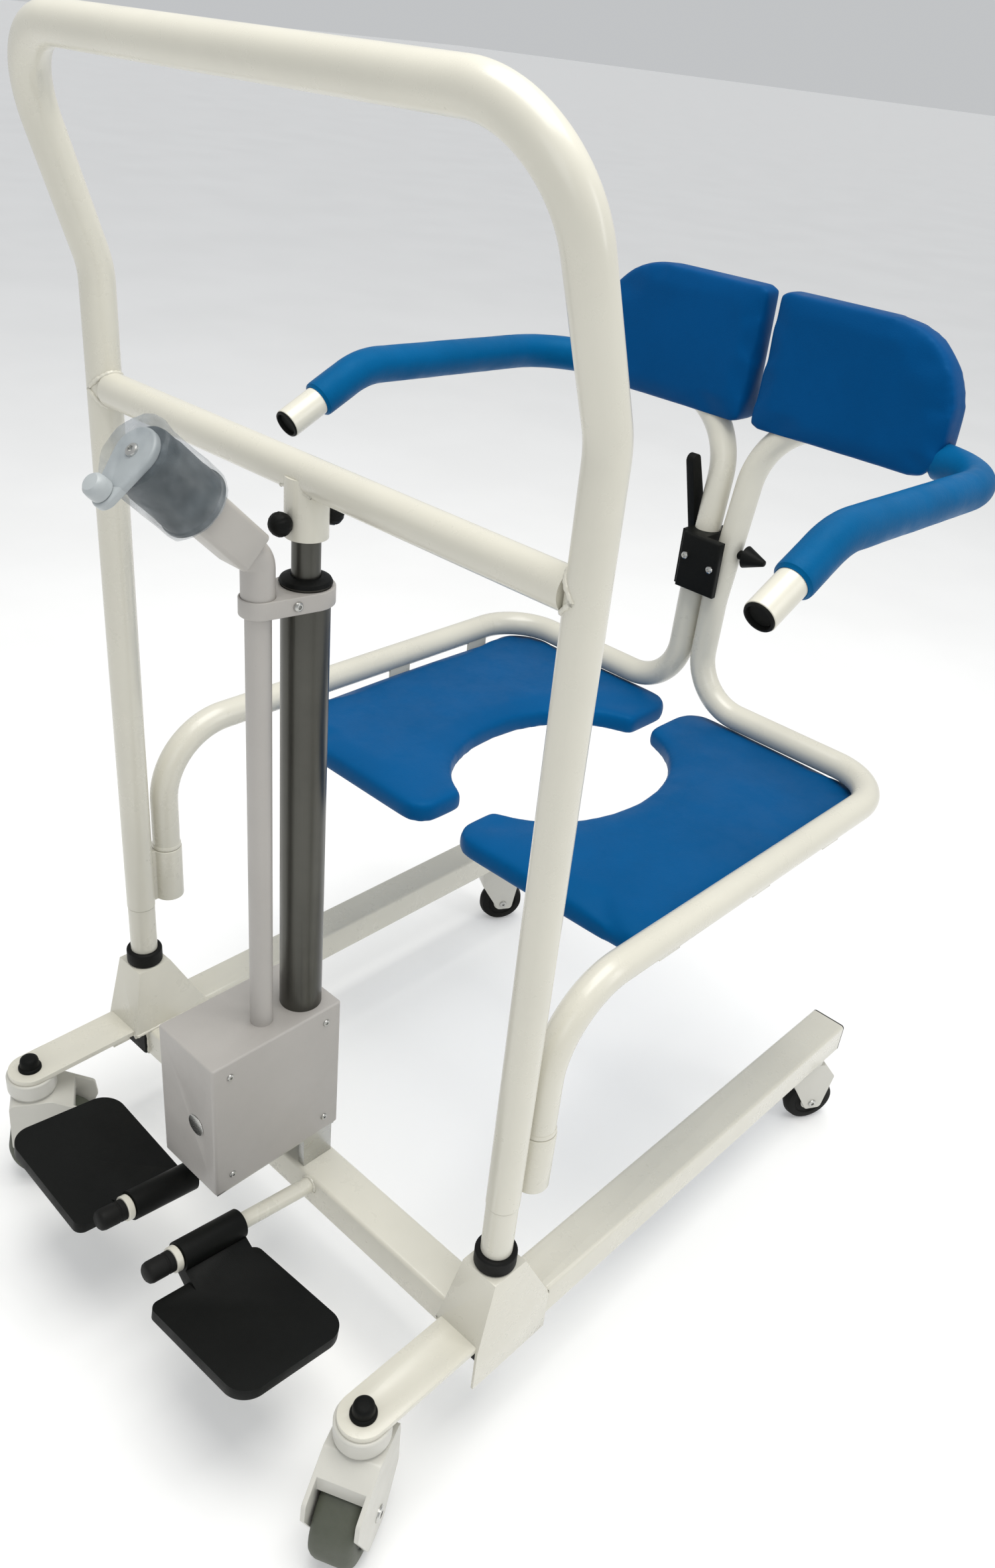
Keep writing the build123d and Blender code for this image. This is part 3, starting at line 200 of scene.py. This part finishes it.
def put(name, mesh, material, body, smooth=SHARP_DEG, *replaced):
    """Links a mesh as a piece of one body, smooth but for its sharp edges."""
    obj = bpy.data.objects.new(name, mesh)
    bpy.context.scene.collection.objects.link(obj)
    mesh.polygons.foreach_set("use_smooth", [True] * len(mesh.polygons))
    if smooth:
        mesh.set_sharp_from_angle(angle=math.radians(smooth))
    mesh.materials.clear()
    mesh.materials.append(M[material])
    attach(obj, body)
    if replaced:
        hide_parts(*replaced)
    return obj


def from_bmesh(name, bm):
    mesh = bpy.data.meshes.new(name)
    bmesh.ops.recalc_face_normals(bm, faces=bm.faces)
    bm.to_mesh(mesh)
    bm.free()
    return mesh


def applied(obj):
    """The mesh an object has after its modifiers."""
    graph = bpy.context.evaluated_depsgraph_get()
    mesh = bpy.data.meshes.new_from_object(obj.evaluated_get(graph))
    obj.modifiers.clear()
    return mesh


def cad_copy(node):
    """A welded copy of a CAD node's mesh with its flat faces joined up."""
    bm = bmesh.new()
    bm.from_mesh(frame["nodes"][node].data)
    bmesh.ops.remove_doubles(bm, verts=bm.verts, dist=2e-6)
    bmesh.ops.dissolve_limit(bm, angle_limit=math.radians(0.6), verts=bm.verts, edges=bm.edges)
    return bm


BEVEL_DEG = 32          # edges flatter than this are left alone


def refine(node, bevel=0.5, segments=3, material=None):
    """Stands in for a CAD node: the same shape with its hard edges rounded off, by bevel millimetres."""
    mesh = from_bmesh(node + "_body", cad_copy(node))
    obj = bpy.data.objects.new(node + "_tmp", mesh)
    bpy.context.scene.collection.objects.link(obj)
    mod = obj.modifiers.new("round", "BEVEL")
    mod.width = bevel * MM
    mod.segments = segments
    mod.limit_method = "ANGLE"
    mod.angle_limit = math.radians(BEVEL_DEG)
    mod.use_clamp_overlap = True
    bpy.context.view_layer.update()
    done = applied(obj)
    bpy.data.objects.remove(obj)
    return put(node + "_skin", done, material or NODE_SLOT[node], BODY[node], SHARP_SKIN_DEG, node)


def basis(axis, up=Vector((0, 0, 1))):
    """Two directions square to an axis and to each other."""
    axis = Vector(axis).normalized()
    if abs(axis.dot(up)) > 0.95:
        up = Vector((1, 0, 0))
    side = axis.cross(up).normalized()
    return side, side.cross(axis).normalized()


def angles(count):
    """Evenly spaced angles round a full turn."""
    return [TURN * i / count for i in range(count)]


def rings_mesh(name, rings, loop=False):
    """Joins rings of points, given in order, into one skin. Its ends are closed unless it loops."""
    bm = bmesh.new()
    rows = [[bm.verts.new(p) for p in ring] for ring in rings]
    count = len(rows[0])
    pairs = list(zip(rows, rows[1:])) + ([(rows[-1], rows[0])] if loop else [])
    for a, b in pairs:
        for i in range(count):
            j = (i + 1) % count
            bm.faces.new((a[i], a[j], b[j], b[i]))
    if not loop:
        bm.faces.new(rows[0])
        bm.faces.new(rows[-1])
    return from_bmesh(name, bm)


def lathe(name, profile, origin, axis, material, body, segments=64, replaced=(), wobble=None):
    """A turned piece: profile is (radius mm, distance mm along the axis). The origin is in metres."""
    axis = Vector(axis).normalized()
    side, up = basis(axis)
    rings = []
    for radius, along in profile:
        ring = []
        for a in angles(segments):
            r = radius * (1 + (wobble(a, along) if wobble else 0))
            ring.append(Vector(origin) + axis * along * MM + (side * math.cos(a) + up * math.sin(a)) * r * MM)
        rings.append(ring)
    return put(name, rings_mesh(name, rings), material, body, SHARP_DEG, *replaced)


def fillet_path(points, radii, step=4.0):
    """Points along straight runs joined by round bends. Millimetres."""
    pts = [Vector(p) for p in points]
    path = [pts[0]]
    for before, corner, after, radius in zip(pts, pts[1:], pts[2:], radii):
        a, b = (before - corner).normalized(), (after - corner).normalized()
        half = a.angle(b) / 2
        reach = radius / math.tan(half)
        centre = corner + (a + b).normalized() * (radius / math.sin(half))
        start, end = corner + a * reach - centre, corner + b * reach - centre
        turn = start.angle(end)
        axis = start.cross(end).normalized()
        count = max(4, int(turn * radius / step))
        path += [centre + Matrix.Rotation(turn * i / count, 3, axis) @ start for i in range(count + 1)]
    path.append(pts[-1])
    return path


LIP = 0.5               # the chamfer on a tube's open ends, millimetres


def pipe(name, path, radius, material, body, replaced=(), bore=None, segments=40, shape=None, step=14.0):
    """A tube along a path in millimetres. With a bore its ends are open; shape varies the radius."""
    dense = [path[0]]
    for a, b in zip(path, path[1:]):
        count = max(1, int((b - a).length / step))
        dense += [a.lerp(b, (i + 1) / count) for i in range(count)]
    tangents = [(b - a).normalized() for a, b in zip([dense[0]] + dense, dense[1:] + [dense[-1]])
                if (b - a).length > 1e-9]
    side, up = basis(tangents[0])
    frames = []
    last = tangents[0]
    for t in tangents:
        turn = last.rotation_difference(t)
        side, up, last = turn @ side, turn @ up, t
        frames.append((side.copy(), up.copy()))
    along = [0.0]
    for a, b in zip(dense, dense[1:]):
        along.append(along[-1] + (b - a).length)

    def ring(k, r0, inner=False):
        s, u = frames[k]
        out = []
        for a in angles(segments):
            direction = s * math.cos(a) + u * math.sin(a)
            r = r0 if inner or not shape else shape(r0, along[k], along[-1], dense[k] + direction * r0)
            out.append((dense[k] + direction * r) * MM)
        return out

    rings = [ring(k, radius) for k in range(len(dense))]
    if bore:
        t0, t1 = tangents[0] * LIP * MM, tangents[-1] * LIP * MM
        first, last_ring = ring(0, radius - LIP), ring(len(dense) - 1, radius - LIP)
        rings[0] = [p + t0 for p in rings[0]]
        rings[-1] = [p - t1 for p in rings[-1]]
        rings = [first] + rings + [last_ring]
        rings += [ring(k, bore, True) for k in reversed(range(len(dense)))]
        mesh = rings_mesh(name, rings, loop=True)
    else:
        mesh = rings_mesh(name, rings)
    return put(name, mesh, material, body, SHARP_DEG, *replaced)


def bead(name, path, radius, body, loop=True):
    """A weld bead: a lumpy thin roll along a path in millimetres."""
    rings = []
    count = len(path)
    for k in range(count):
        t = (path[(k + 1) % count] - path[k - 1]).normalized()
        s, u = basis(t)
        swell = radius * (1 + 0.16 * math.sin(k * 2.1) + 0.12 * math.sin(k * 0.7))
        rings.append([(path[k] + (s * math.cos(a) + u * math.sin(a)) * swell) * MM
                      for a in angles(8)])
    return put(name, rings_mesh(name, rings, loop=loop), "frame_cream", body, 0)


def saddle(x, z, main, branch, toward):
    """The curve where a tube along X meets a vertical tube's face."""
    out = []
    for a in angles(72):
        y = branch * math.cos(a)
        out.append(Vector((x + toward * math.sqrt(max(0, main * main - y * y)), y, z + branch * math.sin(a))))
    return out


def circle(centre, axis, radius, count=64):
    s, u = basis(axis)
    return [Vector(centre) + (s * math.cos(a) + u * math.sin(a)) * radius for a in angles(count)]


def bolt(name, centre, axis, radius, height, body, material="machined_steel"):
    """A button head with a hexagon socket. Millimetres."""
    axis = Vector(axis).normalized()
    s, u = basis(axis)
    rows = [(radius, 0), (radius, height * 0.3), (radius * 0.9, height * 0.72), (radius * 0.62, height),
            (radius * 0.5, height)]
    rings = []
    for r, h in rows:
        rings.append([(Vector(centre) + axis * h + (s * math.cos(a) + u * math.sin(a)) * r) * MM
                      for a in angles(36)])
    for depth in (0, height * 0.7):
        ring = []
        for a in angles(36):
            flat = math.cos(math.pi / 6) / math.cos((a % (math.pi / 3)) - math.pi / 6)
            spoke = s * math.cos(a) + u * math.sin(a)
            ring.append((Vector(centre) + axis * (height - depth) + spoke * radius * 0.45 * flat) * MM)
        rings.append(ring)
    return put(name, rings_mesh(name, rings), material, body, SHARP_SKIN_DEG)


CLOTH_FRAMES = 20


def soften(name, node, material, voxel, pressure, cap, held, shape=None):
    """A cushion that starts as its CAD solid and is blown up as cloth, with the side that held
    picks out kept still. voxel and cap, the most a point may move, are in millimetres. shape
    moves the solid's points first."""
    bm = cad_copy(node)
    bmesh.ops.triangulate(bm, faces=bm.faces)
    for v in bm.verts:
        v.co = shape(v.co) if shape else v.co
    obj = bpy.data.objects.new(name + "_tmp", from_bmesh(name, bm))
    bpy.context.scene.collection.objects.link(obj)
    mod = obj.modifiers.new("remesh", "REMESH")
    mod.mode = "VOXEL"
    mod.voxel_size = voxel * MM
    bpy.context.view_layer.update()
    obj.data = applied(obj)
    mod = obj.modifiers.new("smooth", "SMOOTH")
    mod.factor, mod.iterations = 0.5, 3
    bpy.context.view_layer.update()
    obj.data = applied(obj)
    rest = [v.co.copy() for v in obj.data.vertices]
    group = obj.vertex_groups.new(name="held")
    group.add([v.index for v in obj.data.vertices if held(v.co)], 1.0, "REPLACE")
    cloth = obj.modifiers.new("cloth", "CLOTH")
    cloth.settings.quality = 5
    cloth.settings.mass = 0.3
    cloth.settings.tension_stiffness = 18
    cloth.settings.compression_stiffness = 18
    cloth.settings.shear_stiffness = 8
    cloth.settings.bending_stiffness = 6
    cloth.settings.use_pressure = True
    cloth.settings.uniform_pressure_force = pressure
    cloth.settings.vertex_group_mass = "held"
    cloth.settings.effector_weights.gravity = 0
    cloth.collision_settings.use_collision = False
    cloth.collision_settings.use_self_collision = False
    cloth.point_cache.frame_start, cloth.point_cache.frame_end = 1, CLOTH_FRAMES
    scene = bpy.context.scene
    for number in range(1, CLOTH_FRAMES + 1):
        scene.frame_set(number)
    obj.data = applied(obj)
    scene.frame_set(1)
    for v, old in zip(obj.data.vertices, rest):
        move = v.co - old
        if move.length > cap * MM:
            v.co = old + move.normalized() * cap * MM
    calm = obj.modifiers.new("calm", "SMOOTH")
    calm.factor, calm.iterations = 0.5, 5
    mod = obj.modifiers.new("fine", "SUBSURF")
    mod.levels = mod.render_levels = 1
    bpy.context.view_layer.update()
    mesh = applied(obj)
    bpy.data.objects.remove(obj)
    piece = put(name, mesh, material, BODY[node], 0, node)
    return piece


# ---- lifting frame and seat tubes ----------------------------------------------------

POST_X, POST_R, SEAT_R = 262.5, 14.3, 14.0     # millimetres, as are the routes below
CROSSBAR_Z = 822
HINGE_Y, HINGE_Z = 34, 350.5
half = [(POST_X, 0, 289), (POST_X, 0, 915), (259, -59, 1079)]
route = [(-x, y, z) for x, y, z in half] + half[::-1]
pipe("handle_tube", fillet_path(route, [70, 70, 70, 70]), POST_R, "frame_cream", "lift", ["handle_frame"],
     bore=12.3, segments=56)
pipe("crossbar_tube", [Vector((-250, 0, CROSSBAR_Z)), Vector((250, 0, CROSSBAR_Z))], POST_R, "frame_cream",
     "lift", ["crossbar"], segments=56)
for k in (-1, 1):
    bead(f"crossbar_weld_{'right' if k > 0 else 'left'}",
         saddle(k * POST_X, CROSSBAR_Z, POST_R, POST_R, -k), 1.9, "lift")
refine("tee_sleeve", 0.8)
for y in (-1, 1):
    line = [Vector((x, y * math.sqrt(POST_R ** 2 - (z - CROSSBAR_Z) ** 2), z)) for x, z in
            ((16.6 * math.cos(a), 817 - 5 * abs(math.cos(a))) for a in (math.pi * i / 30 for i in range(31)))]
    bead(f"tee_weld_{'rear' if y > 0 else 'front'}", line, 1.4, "lift", loop=False)


def knob_wobble(a, along):
    """Finger lobes round a knob's rim."""
    return 0.035 * math.cos(14 * a) * max(0, 1 - abs(along - 1) / 9)


knob = [(0.5, -8.9), (4.5, -7.8), (6.6, -6.1), (8.2, -3.4), (9, 0), (8.6, 2.6), (7.4, 5.2), (5.2, 7.3),
        (2.5, 8.6), (0.5, 8.9)]
for y, side in ((-1, "front"), (1, "rear")):
    lathe(f"tee_knob_{side}", knob, (0, y * 0.024, 0.790), (0, y, 0), "black_plastic", "lift", 84,
          ["tee_knobs"] if y < 0 else (), knob_wobble)
    lathe(f"tee_knob_neck_{side}", [(4, 10.5), (4, 17), (5.2, 17.2), (5.2, 19)], (0, 0, 0.790), (0, y, 0),
          "machined_steel", "lift", 32)
refine("seat_hinges", 0.8)

SEAT_ROUTE = [(POST_X, HINGE_Y, HINGE_Z), (POST_X, HINGE_Y, 480), (POST_X, 553, 480), (15, 553, 480),
              (15, 556, 600), (20, 586, 802), (271, 586, 802), (271, 288, 809), (271, 196, 764)]
BENDS = [75, 60, 60, 120, 80, 75, 90]


def foam_swell(r0, along, total, point):
    """Round lips at the ends and the gentle lumps and creases of foam on a bent tube."""
    end = min(along, total - along)
    lip = math.sqrt(max(0.0, 1 - (1 - min(1, end / 5)) ** 2))
    lump = 0.014 * noise.noise(point * 0.03) + 0.006 * noise.noise(point * 0.12)
    snug = 14.1     # just clear of the tube inside
    return snug + (r0 - snug) * (0.25 + 0.75 * lip) + r0 * lump


for name, k in SIDES.items():
    body = "seat_" + name
    corners = [Vector((k * x, y, z)) for x, y, z in SEAT_ROUTE]
    pipe(f"seat_tube_{name}", fillet_path(corners, BENDS), SEAT_R, "frame_cream", body,
         [f"seat_frame_{name}"], bore=12, segments=56)
    lathe(f"hinge_pin_{name}", [(9.95, -61), (9.95, 0)], corners[0] * MM, (0, 0, 1), "machined_steel", body, 48)
    lathe(f"hinge_shoulder_{name}", [(12, -0.2), (14.6, 0.3), (14.9, 1.2), (14.9, 3), (14.2, 4.5)],
          corners[0] * MM, (0, 0, 1), "frame_cream", body, 64)
    away = (corners[7] - corners[8]).normalized()
    stop = corners[8] + away * 40
    begin = Vector((k * 207, 586, 802))
    bent = fillet_path([Vector((k * 190, 586, 802)), corners[6], corners[7], stop], BENDS[5:], 2.5)
    path = [begin] + [p for p in bent if abs(p.x) > 210]
    foam = pipe(f"arm_pad_{name}", path, 17.5, "arm_vinyl", body, [f"arm_foam_{name}"], bore=14.05,
                segments=56, shape=foam_swell, step=2.5)
    lathe(f"arm_plug_{name}", [(11.9, -8), (11.9, -0.5), (13.2, 0), (13.4, 0.8), (12.9, 1.8), (11.2, 2.2),
                               (10.4, 0.6), (10, -1.6), (4, -2.2), (0.4, -2.2)],
          corners[8] * MM, -away, "black_plastic", body, 64, [f"arm_cap_{name}"])
    refine(f"pad_brackets_{name}", 0.5)
    for number, y in enumerate((200, 345, 472)):
        bolt(f"pad_screw_{name}_{number}", (k * 233, y, 439), (0, 0, -1), 5, 3, body)

# ---- pads ----------------------------------------------------------------------------


def tucked(p):
    """The seat cushion's skin reaches out to the rail, 8 mm past its CAD solid, and its front
    corners are rounder."""
    outer = min(1.0, max(0.0, (abs(p.x) - 0.03) / 0.22))    # 0 at the middle, 1 at the rail
    front = min(1.0, max(0.0, (0.26 - p.y) / 0.10))         # 1 over the front 100 mm's edge
    widening, setback, corner_setback = 0.032, 0.004, 0.007
    return Vector((p.x * (1 + widening * outer), p.y + front * (setback + corner_setback * outer ** 3), p.z))


for name, k in SIDES.items():
    soften(f"seat_cushion_{name}", f"seat_pad_{name}", "seat_vinyl", voxel=4.5, pressure=3.5, cap=4.5,
           held=lambda p: p.z < 0.4465, shape=tucked)
    soften(f"back_cushion_{name}", f"back_pad_{name}", "back_vinyl", voxel=4.0, pressure=2.0, cap=3.0,
           held=lambda p: p.y > 0.599)

# ---- latch ---------------------------------------------------------------------------

refine("latch_block", 0.8, material="black_plastic")
refine("latch_lever", 1.2)
refine("strike_knob", 0.8)
for number, (x, z) in enumerate(((-17, 646), (16, 640))):
    bolt(f"latch_screw_{number}", (x, 532, z), (0, -1, 0), 4.2, 2.6, "seat_left")
bolt("lever_screw", (-43.5, 580, 655), (-1, 0, 0), 4.5, 2.6, "latch")

# ---- base ----------------------------------------------------------------------------

for node in ("base_legs", "cross_tube", "post_sockets", "front_arms"):
    refine(node, 0.9)
refine("leg_end_caps", 0.4)
refine("gearbox_cover", 0.9, 4)
refine("cover_plug", 0.5, material="machined_steel")
refine("clamp_plate", 1.2)
for node in ("gearbox_frame", "lead_screw", "screw_gear", "drive_shaft", "crank_shaft", "lift_nut",
             "swivel_rings", "socket_collars"):
    refine(node, 0.4)
refine("column_gland", 0.5)
for name, k in SIDES.items():
    x = k * 240.6
    corner = 3.5
    ring = []
    for cy, cz, start in ((20.7, 138, 0), (-13.3, 138, 90), (-13.3, 108, 180), (20.7, 108, 270)):
        for a in (0, 30, 60, 90):
            around = math.radians(start + a)
            ring.append(Vector((x, cy + corner * math.cos(around), cz + corner * math.sin(around))))
    dense = [a.lerp(b, i / 8) for a, b in zip(ring, ring[1:] + ring[:1]) for i in range(8)]
    bead(f"leg_weld_{name}", dense, 1.8, "base")
    y0, y1, x0, x1 = -35, 58, k * 233.8, k * 284.2
    foot = [Vector((x0, y0, 142.5)), Vector((x0, y1, 142.5)), Vector((x1, y1, 142.5))]
    seam = [a.lerp(b, i / 30) for a, b in zip(foot, foot[1:]) for i in range(30)] + [foot[-1]]
    bead(f"socket_weld_{name}", seam, 1.7, "base", loop=False)
    pipe(f"guide_tube_{name}", [Vector((k * POST_X, 0, 106)), Vector((k * POST_X, 0, 720))], 12.25,
         "column_steel", "base", ["guide_tubes"] if k > 0 else (), bore=10.25)
    pipe(f"guide_sleeve_{name}", [Vector((k * POST_X, 0, 216)), Vector((k * POST_X, 0, 288.8))], 13.8,
         "frame_cream", "base", ["guide_sleeves"] if k > 0 else (), bore=12.3)
    lathe(f"stem_cap_{name}", [(11.5, 0), (11.5, 2), (10.6, 3.2), (9.6, 3.6), (9.4, 9), (8.8, 11.6),
                               (7, 13.4), (3.5, 14), (0.4, 14)],
          (k * 0.260, -0.142, 0.148), (0, 0, 1), "black_plastic", "base", 72,
          ["front_stem_caps"] if k > 0 else ())
for number, (y, z) in enumerate(((-98, 198), (8, 198), (-98, 318), (8, 318))):
    bolt(f"cover_screw_{number}", (27, y, z), (1, 0, 0), 3.4, 1.8, "base")
    bolt(f"cover_screw_far_{number}", (-53, y, z), (-1, 0, 0), 3.4, 1.8, "base")
for x in (-1, 1):
    bolt(f"clamp_screw_{'right' if x > 0 else 'left'}", (x * 18.5, -22, 733), (x, 0, 0), 4, 2.4, "base")

pipe("column_skin", [Vector((0, 0, 232)), Vector((0, 0, 742))], 19, "column_steel", "base", ["column_tube"],
     bore=17, segments=64)
pipe("piston_skin", [Vector((0, 0, 300)), Vector((0, 0, 800))], 11, "column_steel", "lift", ["piston_tube"],
     bore=8.5, segments=56)
pipe("crank_tube_skin", [Vector((0, -44, 232)), Vector((0, -44, 756))], 10, "cover_grey", "base",
     ["crank_tube"], bore=8, segments=48)

# ---- crank ---------------------------------------------------------------------------

rise = math.radians(44)     # of the crank's axis, along U from the elbow's corner
U = Vector((0, -math.cos(rise), math.sin(rise)))
DOWN = Vector((0, -math.sin(rise), -math.cos(rise)))
ELBOW = Vector((0, -44, 768))
HUB = (ELBOW + U * 70) * MM
elbow_path = fillet_path([(0, -44, 731), ELBOW, ELBOW + U * 16], [14], 1.5)
pipe("elbow_skin", elbow_path, 12.7, "cover_grey", "base", ["crank_elbow"], bore=10, segments=48, step=4)
refine("gear_head", 1.4)
lathe("hub_core", [(9.2, 0), (25, 0.3), (26, 1.4), (26, 4), (24.9, 5), (24.6, 14), (24.2, 15), (24.2, 40),
                   (23.6, 41), (23.4, 52), (22.6, 55), (20, 56), (9.2, 56)],
      HUB, U, "hub_grey", "crank", 96, ["crank_hub"])


def creases(a, along):
    """Loose folds of the clear film round the hub."""
    point = Vector((math.cos(a) * 2.2, math.sin(a) * 2.2, along * 0.05))
    return 0.055 * noise.noise(point) + 0.018 * noise.noise(point * 3.1)


lathe("hub_wrap", [(23.9, -1), (27.2, 1), (27.8, 4), (27.6, 14), (27.2, 28), (27.0, 42), (26.8, 52),
                   (27.2, 57), (27.6, 60.5), (26.2, 62.6), (21, 63.4), (12, 63), (5, 63.2)],
      HUB, U, "clear_wrap", "crank", 120, (), creases)
refine("crank_arm", 1.2, material="wrap_grey")
lathe("grip_skin", [(3.6, 0), (7.6, 0), (8.4, 0.8), (8.5, 6), (8.0, 9.5), (6, 11.6), (2.5, 12), (0.4, 12)],
      (ELBOW + U * 132 + DOWN * 32) * MM, U, "wrap_grey", "grip", 64, ["crank_grip"])
bolt("crank_screw", ELBOW + U * 131.5, U, 5, 2.6, "crank")

# ---- footrests -----------------------------------------------------------------------

tilt = math.radians(8)      # of the foot tubes, which run along V
V = Vector((0, -math.cos(tilt), math.sin(tilt)))
for name, k in SIDES.items():
    root = Vector((k * 38, -17.3, 131))
    pipe(f"foot_tube_{name}", [root, root + V * 157.5], 8, "frame_cream", "base",
         ["foot_tubes"] if k > 0 else (), bore=6, segments=40)
    bead(f"foot_weld_{name}", circle(root + V * 0.6, V, 8.4), 1.6, "base")
    lathe(f"foot_washer_{name}", [(8, 0), (11.4, 0), (12, 0.7), (12, 5.8), (11.4, 6.5), (8, 6.5)],
          (root + V * 151) * MM, V, "frame_cream", "base", 56)
    lathe(f"foot_plug_{name}", [(6, -9), (6, 0), (10, 0), (10, 5), (9.3, 5.6), (9.3, 7), (10, 7.6), (10, 21),
                                (9.2, 24), (7.2, 25.7), (0.4, 26)],
          (root + V * 157.5) * MM, V, "black_rubber", "base", 56, ["foot_plugs"] if k > 0 else ())
    refine(f"foot_plate_{name}", 2.4, 4)

# ---- casters -------------------------------------------------------------------------

WHEEL_BORE = 5.05

def tyre_profile(radius, width):
    """Half a wheel's section from its bore to its tread, and the same again mirrored."""
    h = width / 2
    profile = [(WHEEL_BORE, -h), (radius * 0.42, -h), (radius * 0.44, -h + 1.2), (radius * 0.62, -h + 1.6),
               (radius * 0.66, -h + 0.2), (radius * 0.80, -h), (radius * 0.92, -h + 1.4),
               (radius - 1.6, -h + 4), (radius - 0.2, -h + 8)]
    return profile + [(r, -x) for r, x in reversed(profile)]


# stem x and y, trail, wheel radius and width, the swivel at rest in degrees, and how far the
# fork's cheek reaches beside the wheel
CASTERS = {
    "front": (260, -142, 17, 47, 40, {"right": 25, "left": 148}, 5.5),
    "rear": (261, 562, 15, 31, 18, {"right": 150, "left": 150}, 4.5),
}
for kind, (x, y, trail, radius, width, turns, cheek) in CASTERS.items():
    for name, k in SIDES.items():
        a = math.radians(turns[name])
        axle = Vector((math.cos(a), math.sin(a), 0))
        hub = Vector((k * x + trail * math.sin(a), y - trail * math.cos(a), radius))
        refine(f"{kind}_fork_{name}", 2.0 if kind == "front" else 1.4, 4, "caster_cream")
        wheel = f"{kind}_wheel_{name}"
        lathe(f"{kind}_tyre_{name}", tyre_profile(radius, width), hub * MM, axle,
              "tread_grey" if kind == "front" else "black_rubber", wheel, 96, [wheel])
        for end in (-1, 1):
            tag = "a" if end > 0 else "b"
            out = axle * end
            face = width / 2
            lathe(f"{kind}_hub_{name}_{tag}", [(5.1, face - 0.9), (radius * 0.40, face - 0.9),
                                               (radius * 0.40, face + 0.25), (radius * 0.3, face + 0.5),
                                               (5.1, face + 0.6)],
                  hub * MM, out, "caster_cream", wheel, 64)
            bolt(f"{kind}_axle_{name}_{tag}", hub + out * (face + cheek), out, radius * 0.16, 2.4,
                 f"{kind}_fork_{name}")

# ---- stage, light and camera ---------------------------------------------------------

paper = Nodes("studio_floor")
paper.link(paper.mix(paper.ramp(paper.noise(2, 4), 0.3, 0.7, 0, 1), (0.86, 0.86, 0.855), (0.90, 0.90, 0.895)),
           paper.shader.inputs["Base Color"])
paper.link(paper.ramp(paper.noise(120, 3), 0.3, 0.7, 0.6, 0.75), paper.shader.inputs["Roughness"])
paper.shader.inputs["Emission Color"].default_value = (1, 1, 1, 1)
paper.shader.inputs["Emission Strength"].default_value = 0.16
paper.bump(paper.noise(350, 3), 0.05, 0.001)
bm = bmesh.new()
bmesh.ops.create_grid(bm, x_segments=8, y_segments=8, size=60)
floor = bpy.data.objects.new("floor", from_bmesh("floor", bm))
bpy.context.scene.collection.objects.link(floor)
floor.data.materials.append(paper.mat)

world = bpy.data.worlds.new("studio")
bpy.context.scene.world = world
world.use_nodes = True
world.node_tree.nodes["Background"].inputs["Color"].default_value = (0.96, 0.98, 1.0, 1)
world.node_tree.nodes["Background"].inputs["Strength"].default_value = 0.56


def lamp(name, place, target, size, power, colour=(1, 1, 1)):
    data = bpy.data.lights.new(name, "AREA")
    data.shape, data.size, data.size_y = "RECTANGLE", size[0], size[1]
    data.energy, data.color = power, colour
    obj = bpy.data.objects.new(name, data)
    bpy.context.scene.collection.objects.link(obj)
    obj.location = place
    obj.rotation_euler = (Vector(target) - Vector(place)).to_track_quat("-Z", "Y").to_euler()


lamp("overhead", (0.3, 0.2, 3.0), (0, 0.2, 0.4), (2.0, 2.0), 66, (1, 0.985, 0.95))
lamp("front_fill", (1.9, -2.4, 1.9), (0, 0.1, 0.5), (1.6, 1.6), 10, (0.96, 0.98, 1.0))
lamp("side_strip", (2.6, 1.4, 1.6), (0, 0.2, 0.6), (0.6, 1.8), 10, (1, 1, 1))

camera = bpy.data.objects.new("camera", bpy.data.cameras.new("camera"))
bpy.context.scene.collection.objects.link(camera)
right = Vector((0.72807, 0.67819, 0.09985))
down = Vector((0.42038, -0.32666, -0.84651))
ahead = Vector((-0.54148, 0.65829, -0.52292))
turn = Matrix((right, -down, -ahead)).transposed().to_4x4()
place = (0.6848, -0.5589, 1.1049)
camera.matrix_world = Matrix.Translation(place) @ turn
camera.data.sensor_width = 36
camera.data.lens = 28.6
camera.data.shift_x, camera.data.shift_y = -0.0111, 0.0099
bpy.context.scene.camera = camera
bpy.context.scene.view_settings.view_transform = "Standard"
